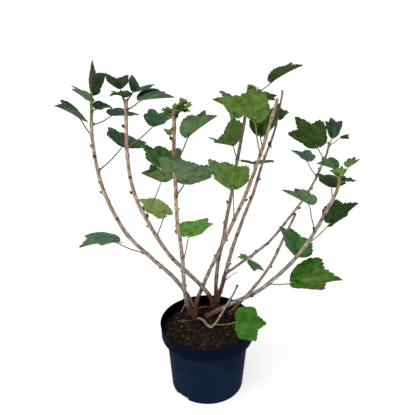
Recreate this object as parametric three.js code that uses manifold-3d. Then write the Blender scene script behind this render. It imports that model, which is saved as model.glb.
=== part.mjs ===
// A pruned redcurrant bush in a round nursery pot, in millimetres, with +Z up.
// The origin is the centre of the pot's flat underside, and the bush's front faces -Y.
import * as THREE from "three";
import { mergeVertices } from "three/addons/utils/BufferGeometryUtils.js";
import Module from "manifold-3d";

const wasm = await Module();
wasm.setup();

const GAP = 0.3; // clearance between two solids that meet
const CUT_GAP = 0.4; // the same, where a slanting face is cut by its neighbour

// Pot: a tapering body, a ledge, and a wider collar above it
const POT_HEIGHT = 150;
const RIM_RADIUS = 95;
const COLLAR_HEIGHT = 30;
const BODY_TOP_RADIUS = 82;
const BODY_FOOT_RADIUS = 74;
const WALL = 2.4;
const FLOOR = 2.5;
const POT_SEGMENTS = 40;
const DRAIN_WIDTH = 30;
const DRAIN_DEPTH = 24;
const DRAIN_HEIGHT = 7;
const DRAIN_DIRECTIONS = [227, 47];

// Soil: a flat crown that falls a little towards the collar
const SOIL_LEVEL = 130;
const SOIL_CROWN_RADIUS = 76;
const SOIL_EDGE_DROP = 4;

// Canes: how far right of the pot's centre each one stands, at its foot, at every level
// between, and at its top. Its depth is given at the foot, halfway up and at the top.
const LEVELS = [150, 175, 205, 245, 290, 340, 400, 460, 530];
const LEVEL_MARGIN = 10;
const CANES = {
  far_left: {
    foot: 130, top: 615, crown: 540, radii: [4.4, 2.7],
    right: [-25, -27, -33, -45, -70, -109, -149, -175, -190, -195, -188],
    depth: [33, -4, -35],
  },
  left: {
    foot: 130, top: 612, crown: 585, radii: [4.4, 2.7],
    right: [17, 12, 7, -8, -37, -70, -95, -118, -132, -133, -127],
    depth: [56, -12, -75],
  },
  front: {
    foot: 130, top: 603, crown: 545, radii: [4, 2.9],
    right: [-26, -33, -41, -44, -46, -46, -49, -53, -53, -53, -50],
    depth: [33, -45, -110],
  },
  centre: {
    foot: 130, top: 593, radii: [4.2, 2.9],
    right: [-25, -25, -21, -9, 7, 27, 48, 72, 91, 109, 122],
    depth: [33, 52, 30],
  },
  back: {
    foot: 130, top: 600, crown: 572, radii: [4.2, 3],
    right: [17, 17, 18, 18, 22, 31, 39, 50, 59, 71, 79],
    depth: [56, 86, 125],
  },
  back_right: {
    foot: 130, top: 596, radii: [4.8, 1.7],
    right: [17, 20, 25, 33, 42, 53, 69, 89, 105, 127, 137],
    depth: [56, 66, 78],
  },
  right: {
    foot: 224, top: 490, crown: 450, radii: [2.9, 2.2],
    right: [38, 66, 123, 163, 204, 230, 238],
    depth: [60, 82, 105],
  },
  short_right: {
    foot: 130, top: 344, radii: [3.6, 2.5],
    right: [48, 63, 86, 110, 135, 155, 179],
    depth: [52, 72, 92],
  },
  far_right: {
    foot: 130, top: 482, crown: 458, radii: [4.8, 2.6],
    right: [-1, 21, 53, 96, 131, 161, 185, 206, 222, 221],
    depth: [43, -14, -60],
  },
};
const CANE_SIDES = 8;
const CANE_STEP = 26;

// Canes that spring from one stock, with the height where they have parted
const STOCKS = {
  left: { canes: ["far_left", "front", "centre"], top: 170 },
  middle: { canes: ["left", "back", "back_right"], top: 188 },
};

// Small wood: a pruned twig that bends over the soil, a dead stub and a dry twig. The pruned
// twig rises again past its lowest stretch.
const PRUNED_TWIG = [
  [-25, 33, 134], [-9, 24, 134], [0, 7, 133.6], [8, 0, 134], [16, 7, 137], [34, 19, 163],
  [54, 32, 195], [61, 32, 212],
];
const PRUNED_TWIG_RADII = [2.6, 1.9];
const PRUNED_TWIG_STEPS = 16;
const PRUNED_TWIG_LOWEST = 0.35;
const DEAD_STUB = [[-42, 16, 180], [-48, 14, 166], [-54, 13, 153]];
const DEAD_STUB_RADII = [1.8, 1.1];
const DRY_TWIG = [[36, 60, 206], [44, 60, 215], [61, 60, 228]];
const DRY_TWIG_RADII = [1.3, 0.8];

// A leaf's outline: angle from its tip, and distance from its stalk as a share of its size
const OUTLINE = [
  [0, 1], [14, 0.79], [28, 0.73], [46, 0.87], [62, 0.74], [82, 0.59], [107, 0.43],
  [138, 0.23], [180, 0.02],
];
const BLADE = 1;
const BLADE_CENTRE = 0.1;

// A stalk: thicker at its root, thicker on a larger leaf, and sunk a little into the blade
const STALK_SIDES = 4;
const STALK_RADIUS = 0.6;
const STALK_RADIUS_PER_SIZE = 1 / 150;
const STALK_ROOT_EXTRA = 0.3;
const STALK_SINK = 0.06;
const SHORT_STALK = 20;

// Leaves, from the left cane to the right one. Height on the cane; the stalk's bearing,
// rise and reach; the blade's bearing, lift, roll and size; its fold and its downward curl.
const LEAVES = {
  far_left: [
    [300, -170, 32, 57, 198, 22, 10, 67, 10, 0.22],
    [475, 35, 38, 58, 87, 7, 20, 54, 20, -0.05],
    [541, 145, 42, 35, 218, 43, -13, 54, 18, 0.05],
    [560, 35, 20, 35, 25, 10, -5, 50, 20, 0.2],
    [585, -40, 35, 12, 10, 15, 15, 26, 25, 0.25],
    [605, -95, -25, 5, 212, 45, 5, 42, 5, -0.05],
    [612, 0, 80, 6, 90, 80, -60, 50, -10, 0.05],
  ],
  left: [
    [340, 60, 56, 50, 165, 30, 0, 55, 5, 0.15],
    [385, 55, 55, 71, 235, 35, -15, 53, 40, 0.05],
    [530, 35, 30, 58, 48, 22, 5, 44, 25, -0.05],
    [595, -15, 35, 31, 8, 14, 0, 53, 20, 0.15],
    [600, 120, 55, 30, 100, 10, -5, 42, 32, -0.1],
    [608, 60, 35, 22, 85, 5, 32, 41, 30, 0],
    [608, -115, 45, 9, 260, 30, 5, 29, 20, -0.05],
  ],
  front: [
    [295, 70, 45, 53, 47, 22, -10, 55, 15, 0],
    [450, -45, 58, 40, 280, 48, -12, 77, 5, 0],
    [495, 120, 0, 35, 110, 21, 5, 58, 20, -0.1],
    [510, -50, 58, 64, 350, 40, -12, 56, 30, 0],
    [555, 155, 30, 11, 133, 40, 15, 16, 25, 0.05],
    [592, 10, 58, 19, 15, 30, -10, 24, 25, 0.1],
    [597, 165, 35, 6, 180, 20, 10, 19, 25, 0.1],
    [600, 75, 55, 8, 50, 45, 0, 20, 25, 0.1],
    [600, -70, 50, 6, 330, 25, 0, 18, 25, 0.1],
  ],
  centre: [
    [360, -109, 71, 79, 250, 62, -10, 68, 15, 0.05],
    [450, 82, 17, 35, 86, -4, 0, 57, 15, 0.2],
    [485, -135, 75, 69, 195, 25, 15, 88, 35, -0.1],
    [500, 85, 28, 47, 66, 25, 5, 66, 35, -0.1],
  ],
  back: [
    [460, -110, 53, 41, 225, 22, 42, 58, 32, -0.1],
    [495, -140, 70, 55, 143, 60, 70, 49, 20, 0.1],
    [575, -4, 35, 59, 343, 38, -5, 62, 25, 0.12],
    [588, 10, -25, 29, 15, 8, 12, 32, 5, 0.05],
    [586, -30, 35, 6, 350, 25, 0, 17, 25, 0.1],
    [588, -20, 45, 5, 40, 30, 0, 13, 25, 0.1],
  ],
  right: [
    [260, 150, 30, 7, 175, 10, 0, 20, 10, 0.1],
    [268, -150, -50, 12, 351, -10, -7, 33, -5, 0.3],
    [425, -150, 55, 49, 128, 12, 10, 42, 25, 0],
    [460, -130, 40, 52, 167, 52, 49, 69, 10, 0],
    [485, 70, 35, 21, 85, 38, 15, 43, 44, -0.2],
    [485, -20, 45, 26, 20, 30, -7, 20, 0, 0.3],
  ],
  far_right: [
    [230, -6, 8, 59, 347, 7, 0, 84, 15, -0.1],
    [260, 23, 38, 54, 118, 38, 10, 60, 27, 0.1],
    [330, 25, 35, 64, 5, 45, 5, 60, 28, 0.1],
    [366, -138, 67, 64, 166, 31, 25, 54, 30, 0.1],
    [435, 90, 30, 28, 84, 16, 5, 43, 22, 0.1],
    [470, 0, 10, 13, 0, 0, 0, 16, 10, 0],
    [475, -25, 70, 27, 348, 30, -20, 26, 32, 0],
    [478, 105, 20, 22, 143, 8, 10, 36, 38, -0.1],
    [480, 60, 55, 6, 60, 60, 0, 14, 20, 0],
  ],
};
const RIM_LEAF = [136, -46, 33, 80, 0, -5, 31, 55, -10, 0.15];

const POT_BLUE = 0x15203a;
const SOIL_BROWN = 0x2b2119;
const BARK_TAN = 0x94785f;
const BARK_OLD = 0x5e3a26;
const TWIG_GREY = 0xa8937c;
const LEAF_GREEN = 0x3f6234;

const radians = THREE.MathUtils.degToRad;

// The unit vector with a bearing turned from +X about +Z, and a rise above the level
function heading(bearing, rise) {
  const level = Math.cos(radians(rise));
  return new THREE.Vector3(
    level * Math.cos(radians(bearing)),
    level * Math.sin(radians(bearing)),
    Math.sin(radians(rise)),
  );
}

// A closed geometry as a solid that can be joined and cut
function solidOf(geometry) {
  const bare = geometry.clone();
  bare.deleteAttribute("normal");
  bare.deleteAttribute("uv");
  const merged = mergeVertices(bare, 1e-4);
  return new wasm.Manifold(
    new wasm.Mesh({
      numProp: 3,
      vertProperties: merged.attributes.position.array,
      triVerts: new Uint32Array(merged.index.array),
    }),
  );
}

function joined(solids) {
  return solids.reduce((whole, solid) => whole.add(solid));
}

function meshOf(name, solid, color, roughness) {
  const { vertProperties, triVerts } = solid.getMesh();
  const geometry = new THREE.BufferGeometry();
  geometry.setAttribute("position", new THREE.BufferAttribute(vertProperties, 3));
  geometry.setIndex(new THREE.BufferAttribute(triVerts, 1));
  geometry.computeVertexNormals();
  const material = new THREE.MeshStandardMaterial({ color, roughness, metalness: 0 });
  const mesh = new THREE.Mesh(geometry, material);
  mesh.name = name;
  return mesh;
}

function curveThrough(points) {
  return new THREE.CatmullRomCurve3(points.map((p) => new THREE.Vector3(...p)), false);
}

// A tapering limb: a cylinder whose rings are carried along a curve
function limb(curve, radii, sides, steps) {
  const geometry = new THREE.CylinderGeometry(1, 1, 1, sides, steps);
  const frames = curve.computeFrenetFrames(steps, false);
  const position = geometry.attributes.position;
  for (let i = 0; i < position.count; i++) {
    const along = position.getY(i) + 0.5;
    const ring = Math.round(along * steps);
    const radius = THREE.MathUtils.lerp(radii[0], radii[1], along);
    const point = curve.getPointAt(ring / steps);
    point.addScaledVector(frames.normals[ring], radius * position.getX(i));
    point.addScaledVector(frames.binormals[ring], -radius * position.getZ(i));
    position.setXYZ(i, point.x, point.y, point.z);
  }
  return solidOf(geometry);
}

// Depth of a cane at a height, from its three named depths
function depthAt({ foot, top, depth }, height) {
  const t = (height - foot) / (top - foot);
  const [atFoot, halfway, atTop] = depth;
  return atFoot * (1 - t) * (1 - 2 * t) + 4 * halfway * t * (1 - t) + atTop * t * (2 * t - 1);
}

function caneCurve(cane) {
  const { foot, top, right } = cane;
  const between = LEVELS.filter((z) => z > foot + LEVEL_MARGIN && z < top - LEVEL_MARGIN);
  const heights = [foot, ...between, top];
  return curveThrough(heights.map((z, i) => [right[i], depthAt(cane, z), z]));
}

// Where along a rising curve a height is reached, as a share of its length
function shareAt(curve, height, lowest = 0) {
  let low = lowest;
  let high = 1;
  for (let i = 0; i < 30; i++) {
    const middle = (low + high) / 2;
    if (curve.getPointAt(middle).z < height) low = middle;
    else high = middle;
  }
  return (low + high) / 2;
}

// The stretch of a cane between two heights, as a limb that is `extra` thicker all round
function caneStretch(cane, from, to, extra = 0) {
  const start = shareAt(cane.curve, from);
  const end = shareAt(cane.curve, to);
  const length = (end - start) * cane.curve.getLength();
  const steps = Math.max(2, Math.round(length / CANE_STEP));
  const points = [];
  for (let i = 0; i <= steps; i++) {
    points.push(cane.curve.getPointAt(start + ((end - start) * i) / steps).toArray());
  }
  // the foot is carried on below the soil, so that it can be cut off level
  if (from === SOIL_LEVEL) {
    const below = points[0].map((value, axis) => value - (points[1][axis] - value) / 2);
    points.unshift(below);
  }
  const radii = [start, end].map((u) => THREE.MathUtils.lerp(...cane.radii, u) + extra);
  return limb(curveThrough(points), radii, CANE_SIDES, points.length - 1);
}

function smallWood(points, radii) {
  return limb(curveThrough(points), radii, STALK_SIDES, 3);
}

// Everything below a height, as a solid to cut with
function groundBelow(height) {
  const block = new THREE.BoxGeometry(4 * RIM_RADIUS, 4 * RIM_RADIUS, height);
  block.translate(0, 0, height / 2);
  return solidOf(block);
}

// A leaf blade: a disc drawn out to the lobed outline, then folded, curled and turned
function blade(base, [bearing, lift, roll, size, fold, curl]) {
  const segments = 2 * (OUTLINE.length - 1);
  const geometry = new THREE.CylinderGeometry(1, 1, BLADE, segments, 1);
  const along = heading(bearing, lift);
  const level = heading(bearing + 90, 0);
  const across = level.clone().multiplyScalar(Math.cos(radians(roll)));
  across.addScaledVector(along.clone().cross(level), Math.sin(radians(roll)));
  const up = along.clone().cross(across);
  const position = geometry.attributes.position;
  for (let i = 0; i < position.count; i++) {
    const turn = Math.atan2(position.getX(i), position.getZ(i));
    const row = Math.round((Math.abs(turn) / Math.PI) * (OUTLINE.length - 1));
    const centre = Math.hypot(position.getX(i), position.getZ(i)) < 0.5;
    const angle = radians(OUTLINE[row][0]) * Math.sign(turn);
    const reach = OUTLINE[row][1];
    const x = centre ? BLADE_CENTRE : reach * Math.cos(angle);
    const y = centre ? 0 : reach * Math.sin(angle);
    const height = Math.abs(y) * Math.sin(radians(fold)) - curl * (x * x + y * y);
    const point = base.clone();
    point.addScaledVector(along, size * x);
    point.addScaledVector(across, size * y * Math.cos(radians(fold)));
    point.addScaledVector(up, size * height + position.getY(i));
    position.setXYZ(i, point.x, point.y, point.z);
  }
  return solidOf(geometry);
}

// A leaf with its stalk, which starts at a point on the middle line of its cane
function leaf(root, [bearing, rise, reach, ...pose]) {
  const base = root.clone().addScaledVector(heading(bearing, rise), reach);
  const size = pose[3];
  const sunk = base.clone().addScaledVector(heading(pose[0], pose[1]), STALK_SINK * size);
  const curve = curveThrough([root, base, sunk].map((p) => p.toArray()));
  const thin = STALK_RADIUS + STALK_RADIUS_PER_SIZE * size;
  const steps = reach > SHORT_STALK ? 3 : 2;
  const stalk = limb(curve, [thin + STALK_ROOT_EXTRA, thin], STALK_SIDES, steps);
  return stalk.add(blade(base, pose));
}

function potSolid() {
  const ledge = POT_HEIGHT - COLLAR_HEIGHT;
  const profile = [
    [0, 0], [BODY_FOOT_RADIUS - 2, 0], [BODY_FOOT_RADIUS, 3],
    [BODY_TOP_RADIUS, ledge - 8], [RIM_RADIUS - 1.5, ledge + 2], [RIM_RADIUS - 1, POT_HEIGHT - 3],
    [RIM_RADIUS, POT_HEIGHT - 2.4], [RIM_RADIUS, POT_HEIGHT - 0.6], [RIM_RADIUS - 0.6, POT_HEIGHT],
    [RIM_RADIUS - WALL, POT_HEIGHT], [RIM_RADIUS - WALL - 0.6, ledge + 4],
    [BODY_TOP_RADIUS - WALL + 1, ledge - 4.5], [BODY_TOP_RADIUS - WALL, ledge - 8],
    [BODY_FOOT_RADIUS - WALL, FLOOR], [0, FLOOR],
  ];
  const shell = new THREE.LatheGeometry(
    profile.map((p) => new THREE.Vector2(...p)),
    POT_SEGMENTS,
  );
  shell.rotateX(Math.PI / 2);
  return drained(solidOf(shell), 0);
}

// Cuts the drain notches out of the foot's edge
function drained(solid, extra) {
  let cut = solid;
  for (const direction of DRAIN_DIRECTIONS) {
    const height = DRAIN_HEIGHT + extra;
    const notch = new THREE.BoxGeometry(DRAIN_DEPTH, DRAIN_WIDTH + 2 * extra, 2 * height);
    notch.translate(BODY_FOOT_RADIUS + 2 - DRAIN_DEPTH / 2 - extra, 0, 0);
    notch.rotateZ(radians(direction));
    cut = cut.subtract(solidOf(notch));
  }
  return cut;
}

function soilSolid() {
  const ledge = POT_HEIGHT - COLLAR_HEIGHT;
  const inset = WALL + GAP + 0.3;
  const profile = [
    [0, FLOOR + GAP], [BODY_FOOT_RADIUS - inset, FLOOR + GAP],
    [BODY_TOP_RADIUS - inset, ledge - 8], [BODY_TOP_RADIUS - inset + 1, ledge - 4],
    [RIM_RADIUS - inset - 1, ledge + 4.6], [RIM_RADIUS - inset - 1, SOIL_LEVEL - SOIL_EDGE_DROP],
    [SOIL_CROWN_RADIUS, SOIL_LEVEL], [0, SOIL_LEVEL],
  ];
  const ball = new THREE.LatheGeometry(
    profile.map((p) => new THREE.Vector2(...p)),
    POT_SEGMENTS,
  );
  ball.rotateX(Math.PI / 2);
  return drained(solidOf(ball), GAP);
}

const bush = new THREE.Group();
bush.add(meshOf("pot", potSolid(), POT_BLUE, 0.45));
bush.add(meshOf("soil", soilSolid(), SOIL_BROWN, 1));

for (const cane of Object.values(CANES)) cane.curve = caneCurve(cane);
const ground = groundBelow(SOIL_LEVEL + GAP);

// Stocks, and the sleeve of clear space round each
const sleeves = {};
for (const [name, { canes, top }] of Object.entries(STOCKS)) {
  const feet = canes.map((key) => caneStretch(CANES[key], SOIL_LEVEL, top));
  bush.add(meshOf(`stock_${name}`, joined(feet).subtract(ground), BARK_OLD, 0.9));
  sleeves[name] = joined(canes.map((key) => caneStretch(CANES[key], SOIL_LEVEL, top, CUT_GAP)));
  for (const key of canes) CANES[key].start = top;
}

// Canes, each up to its cut end or to where its leafy top begins
for (const [name, cane] of Object.entries(CANES)) {
  const end = cane.crown ?? cane.top;
  let wood = caneStretch(cane, cane.start ?? cane.foot, end);
  if (cane.start) wood = wood.subtract(caneStretch(cane, cane.foot, cane.start + CUT_GAP, CUT_GAP));
  if (name === "back_right") wood = wood.add(smallWood(DRY_TWIG, DRY_TWIG_RADII));
  if (name === "front") wood = wood.add(smallWood(DEAD_STUB, DEAD_STUB_RADII));
  if (name === "right") wood = wood.subtract(CANES.back_right.sleeve);
  cane.sleeve = caneStretch(cane, cane.foot, Math.min(end + CUT_GAP, cane.top), CUT_GAP);
  bush.add(meshOf(`cane_${name}`, wood.subtract(ground), BARK_TAN, 0.85));
}
const sleevesOfCanes = joined(Object.values(CANES).map((cane) => cane.sleeve));

// Leaves: those above the bough's end grow from its leafy top, the others singly from its side
for (const [name, rows] of Object.entries(LEAVES)) {
  const cane = CANES[name];
  const crown = cane.crown ?? Infinity;
  const tops = rows.filter(([height]) => height >= crown);
  const heights = [...new Set(rows.map(([height]) => height))].filter((z) => z < crown);
  heights.forEach((height, i) => {
    const root = cane.curve.getPointAt(shareAt(cane.curve, height));
    const grown = rows.filter((row) => row[0] === height).map(([, ...pose]) => leaf(root, pose));
    const mass = joined(grown).subtract(sleevesOfCanes);
    bush.add(meshOf(`leaf_${name}_${i + 1}`, mass, LEAF_GREEN, 0.6));
  });
  if (!tops.length) continue;
  const stem = caneStretch(cane, crown, cane.top);
  const grown = tops.map(([height, ...pose]) => {
    return leaf(cane.curve.getPointAt(shareAt(cane.curve, height)), pose);
  });
  const mass = joined([stem, ...grown]).subtract(sleevesOfCanes);
  bush.add(meshOf(`top_${name}`, mass, LEAF_GREEN, 0.6));
}

// The pruned twig, and the one leaf that it still carries over the rim
const twigCurve = curveThrough(PRUNED_TWIG);
const twig = limb(twigCurve, PRUNED_TWIG_RADII, CANE_SIDES, PRUNED_TWIG_STEPS);
const sleeveRadii = PRUNED_TWIG_RADII.map((radius) => radius + CUT_GAP);
const twigSleeve = limb(twigCurve, sleeveRadii, CANE_SIDES, PRUNED_TWIG_STEPS);
const twigRoot = twigCurve.getPointAt(shareAt(twigCurve, RIM_LEAF[0], PRUNED_TWIG_LOWEST));
const rimLeaf = leaf(twigRoot, RIM_LEAF.slice(1)).subtract(twigSleeve);
bush.add(meshOf("twig_pruned", twig.subtract(sleeves.left), TWIG_GREY, 0.85));
bush.add(meshOf("leaf_rim", rimLeaf, LEAF_GREEN, 0.6));

export default bush;
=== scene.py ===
# %% [markdown]
# A pruned redcurrant bush in a nursery pot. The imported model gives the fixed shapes: the pot, its
# soil, nine canes and the leaves. This lesson dresses them, so each shape gets the surface that
# the real thing has: bark with ridges and buds, veined and toothed leaves, crumbly soil and
# moulded plastic. All sizes are in millimetres until a mesh is made.

# %% Load the frame
import math
import random

import bpy
import numpy as np
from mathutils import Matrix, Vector, noise


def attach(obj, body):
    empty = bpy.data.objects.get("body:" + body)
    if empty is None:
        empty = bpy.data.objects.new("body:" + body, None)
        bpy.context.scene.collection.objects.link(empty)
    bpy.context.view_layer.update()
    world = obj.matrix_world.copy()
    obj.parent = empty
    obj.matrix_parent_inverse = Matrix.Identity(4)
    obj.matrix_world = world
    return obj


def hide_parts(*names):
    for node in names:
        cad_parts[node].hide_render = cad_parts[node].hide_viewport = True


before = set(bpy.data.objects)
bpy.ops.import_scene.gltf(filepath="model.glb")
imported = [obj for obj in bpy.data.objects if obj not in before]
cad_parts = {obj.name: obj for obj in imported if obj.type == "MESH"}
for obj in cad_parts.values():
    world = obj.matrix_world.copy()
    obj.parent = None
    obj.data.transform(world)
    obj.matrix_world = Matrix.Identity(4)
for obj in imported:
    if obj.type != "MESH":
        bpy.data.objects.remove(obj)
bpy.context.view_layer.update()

MM = 0.001
print("the frame has", len(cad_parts), "nodes")

# %% [markdown]
# The picture is taken from a little above the bush, so the pot's rim shows as an ellipse and the
# lower leaves show their upper sides. A camera could be set by eye, but its distance, height and
# tilt can also be worked out from that ellipse and the pot's real size, and then everything that
# is measured through it fits. The frame is square.

# %% Camera
CAMERA_PLACE = (0, -899, 784)
CAMERA_PITCH = 23.2
FOCAL_PIXELS = 532
FRAME_PIXELS = 415
SENSOR = 36
FARTHEST_VIEW = 100

camera_data = bpy.data.cameras.new("camera")
camera_data.sensor_width = SENSOR
camera_data.lens = SENSOR * FOCAL_PIXELS / FRAME_PIXELS
camera_data.clip_end = FARTHEST_VIEW
camera = bpy.data.objects.new("camera", camera_data)
camera.location = Vector(CAMERA_PLACE) * MM
camera.rotation_euler = (math.radians(90 - CAMERA_PITCH), 0, 0)
bpy.context.scene.collection.objects.link(camera)
bpy.context.scene.camera = camera
print("camera", [round(value, 3) for value in camera.location])

# %% [markdown]
# Small helpers come next. A colour is written as it looks on a screen and turned to the linear
# numbers that a shader wants. Finishes could be clicked together in the shader editor, but a
# script repeats them exactly, and one function that adds a node keeps it short.

# %% Colours and nodes
def linear(colour):
    """The linear colour of an sRGB hex value such as "#15203a"."""
    parts = [int(colour[i : i + 2], 16) / 255 for i in (1, 3, 5)]
    straight = [p / 12.92 if p <= 0.04045 else ((p + 0.055) / 1.055) ** 2.4 for p in parts]
    return (*straight, 1.0)


def add(tree, kind, inputs=None, **settings):
    """Adds one node. inputs gives each socket a plain value or another node's output."""
    made = tree.nodes.new(kind)
    for key, value in settings.items():
        setattr(made, key, value)
    for socket, value in (inputs or {}).items():
        if isinstance(value, bpy.types.NodeSocket):
            tree.links.new(value, made.inputs[socket])
        else:
            made.inputs[socket].default_value = value
    return made


print("mid grey is", round(linear("#808080")[0], 3), "to a shader")

# %% [markdown]
# Four more helpers stand on that one: a mix of two colours, a value spread out to run from 0 to
# 1, a new material, and a bump of a real depth.

# %% Mixes and bumps
# A mix node has sockets for several kinds of value, and these are the ones for colours
MIX_FACTOR, MIX_A, MIX_B, MIX_RESULT = 0, 6, 7, 2


def blend(tree, factor, a, b):
    """A colour between a and b, where the factor is a socket."""
    inputs = {MIX_FACTOR: factor, MIX_A: a, MIX_B: b}
    return add(tree, "ShaderNodeMix", inputs, data_type="RGBA").outputs[MIX_RESULT]


def spread(tree, value, low, high):
    """A value that runs from 0 at low to 1 at high."""
    inputs = {"Value": value, "From Min": low, "From Max": high}
    return add(tree, "ShaderNodeMapRange", inputs).outputs["Result"]


def finish(name, roughness, specular=0.5):
    """A new material: the material, its node tree and its shader."""
    material = bpy.data.materials.new(name)
    material.use_nodes = True
    tree = material.node_tree
    shader = tree.nodes["Principled BSDF"]
    shader.inputs["Roughness"].default_value = roughness
    shader.inputs["Specular IOR Level"].default_value = specular
    return material, tree, shader


def relief(tree, shader, height, strength, depth):
    """Gives the shader a bump from a height, with its real depth in millimetres."""
    inputs = {"Height": height, "Strength": strength, "Distance": depth * MM}
    bump = add(tree, "ShaderNodeBump", inputs)
    tree.links.new(bump.outputs["Normal"], shader.inputs["Normal"])


print("a bump of 1 mm has a distance of", 1 * MM)

# %% [markdown]
# Pattern sizes are real ones. A noise texture's scale counts its features in a metre, so a
# feature of 4 mm needs a scale of 250. The first function does that sum, and the others give
# the place that a pattern is read at.

# %% Noise of a real size
def grain(tree, place, size, detail=3.0, roughness=0.55):
    """A noise with features of that size in millimetres, from 0 to 1."""
    inputs = {"Vector": place, "Scale": 1 / (size * MM), "Detail": detail, "Roughness": roughness}
    return add(tree, "ShaderNodeTexNoise", inputs).outputs["Fac"]


def object_place(tree):
    """The place on the piece, which doesn't change when the piece moves."""
    return add(tree, "ShaderNodeTexCoord").outputs["Object"]


def height_of(tree, place):
    """The height part of a place."""
    return add(tree, "ShaderNodeSeparateXYZ", {"Vector": place}).outputs["Z"]


def drawn_out(tree, place, upright):
    """A place whose height is scaled, which draws a pattern out when the scale is below 1."""
    inputs = {"Vector": place, "Scale": (1, 1, upright)}
    return add(tree, "ShaderNodeMapping", inputs).outputs["Vector"]


def cell_noise(tree, place, size, feature):
    """The distance in a net of cells of that size in millimetres, for lenticels and cracks."""
    inputs = {"Vector": place, "Scale": 1 / (size * MM)}
    return add(tree, "ShaderNodeTexVoronoi", inputs, feature=feature).outputs["Distance"]


print("a feature of 4 mm needs a scale of", round(1 / (4 * MM)))

# %% [markdown]
# The pot is moulded polypropylene with a navy pigment. It has a soft sheen, a faint cloudiness
# where the melt has flowed, and fine scuffs. Its wide collar is a shade darker, and the darkening
# starts just below the collar's ledge, where it is a painted shadow of the overhang. The inside is
# painted near-black, which is painted shade on the same navy plastic. A picture could be wrapped
# round it, but noises of real sizes need no unwrapping and stay sharp from near, so they make
# every finish here.

# %% Moulded plastic
POLYPROPYLENE_IOR = 1.49
COLLAR_SHADOW_FROM, COLLAR_TO = 108, 122
COLLAR_SHADE = 0.85
SHEEN_LOW, SHEEN_HIGH = 0.5, 0.7


def moulded_plastic(name, body, cloudy, dust, rim):
    """Pigmented plastic: its body, its clouded parts, its dusty parts and its collar."""
    material, tree, shader = finish(name, roughness=0.6, specular=0.01)
    shader.inputs["IOR"].default_value = POLYPROPYLENE_IOR
    place = object_place(tree)
    flow = spread(tree, grain(tree, place, size=60, detail=4), low=0.35, high=0.7)
    dusty = spread(tree, grain(tree, place, size=9, detail=6, roughness=0.7), low=0.56, high=0.85)
    colour = blend(tree, flow, linear(body), linear(cloudy))
    colour = blend(tree, dusty, colour, linear(dust))
    # The collar darkens from just below its ledge: a painted shadow of the overhang, then a darker
    # collar
    collar = spread(tree, height_of(tree, place), low=COLLAR_SHADOW_FROM * MM, high=COLLAR_TO * MM)
    shade = add(tree, "ShaderNodeMath", {0: collar, 1: COLLAR_SHADE}, operation="MULTIPLY")
    colour = blend(tree, shade.outputs["Value"], colour, linear(rim))
    tree.links.new(colour, shader.inputs["Base Color"])
    sheen = {
        "Value": grain(tree, place, size=14, detail=5),
        "To Min": SHEEN_LOW,
        "To Max": SHEEN_HIGH,
    }
    sheen = add(tree, "ShaderNodeMapRange", sheen).outputs["Result"]
    tree.links.new(sheen, shader.inputs["Roughness"])
    relief(tree, shader, grain(tree, place, size=1.6, detail=2), strength=0.25, depth=0.12)
    return material


POT_OUTSIDE = moulded_plastic("moulded_polypropylene_navy", "#0d192f", "#122239", "#1d2e46", "#060d1f")
# The inside's near-black colours are painted shade: the plastic there is the same navy
POT_INSIDE_PAINTED_SHADE = moulded_plastic("moulded_polypropylene_inside_painted_shade", "#010207", "#03050b", "#0a0a10", "#010207")
print("plastic:", POT_OUTSIDE.name, "and", POT_INSIDE_PAINTED_SHADE.name)

# %% [markdown]
# Peat compost is nearly black where it is damp, and brown and fibrous where it has dried. It
# reflects no highlight, so its roughness is 1. Its coarse lumps are modelled further down, and
# the bump only adds what is finer than a mesh can be. Crumbs, fibres and grit share its recipe
# in other colours.

# %% Compost finishes
def compost(name, damp, dry, size):
    """Crumbly stuff with damp and dry parts, and specks of that size in millimetres."""
    material, tree, shader = finish(name, roughness=1.0, specular=0.1)
    place = object_place(tree)
    patches = spread(tree, grain(tree, place, size=14, detail=5, roughness=0.65), low=0.38, high=0.66)
    specks = spread(tree, grain(tree, place, size=size, detail=4, roughness=0.7), low=0.5, high=0.72)
    colour = blend(tree, patches, linear(damp), linear(dry))
    colour = blend(tree, specks, colour, linear(dry))
    tree.links.new(colour, shader.inputs["Base Color"])
    fine = grain(tree, place, size=size, detail=5, roughness=0.7)
    relief(tree, shader, fine, strength=0.9, depth=1.2)
    return material


PEAT = compost("damp_peat_compost", "#0d0907", "#261c16", 2.2)
CRUMB_DARK = compost("peat_crumb_dark", "#0e0a08", "#1f1711", 1.5)
CRUMB_BROWN = compost("peat_crumb_brown", "#251b15", "#3d2f26", 1.5)
FIBRE_RED = compost("coir_fibre_reddish", "#3a241a", "#5c4334", 1.5)
FIBRE_STRAW = compost("dry_root_straw", "#6f6150", "#998a78", 1.5)
GRIT = compost("pale_grit", "#82796d", "#b4ada2", 1.5)
print("soil:", PEAT.name, "with five finishes for what lies on it")

# %% [markdown]
# Bark follows the cane, so its pattern can't be tied to the room. Each bark mesh carries a vector
# named "straight", its place on the cane if the cane were pulled straight along Z, and a number
# named "age", which is 1 on old dark wood and 0 on last year's. Young bark is silvery beige with
# long dark streaks, greyer where it has weathered low down, and old bark is a dark red brown.
# Small dark lenticels, the pores of bark, are dotted over both.

# %% Bark
WEATHERED_LIGHT, WEATHERED_DARK = linear("#beb2aa"), linear("#584e48")
WEATHERED_FROM, WEATHERED_TO = 420, 220
STREAK_STRETCH = 0.16
LENTICEL_SPACING = 7
LENTICEL_STRETCH = 1.9


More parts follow.
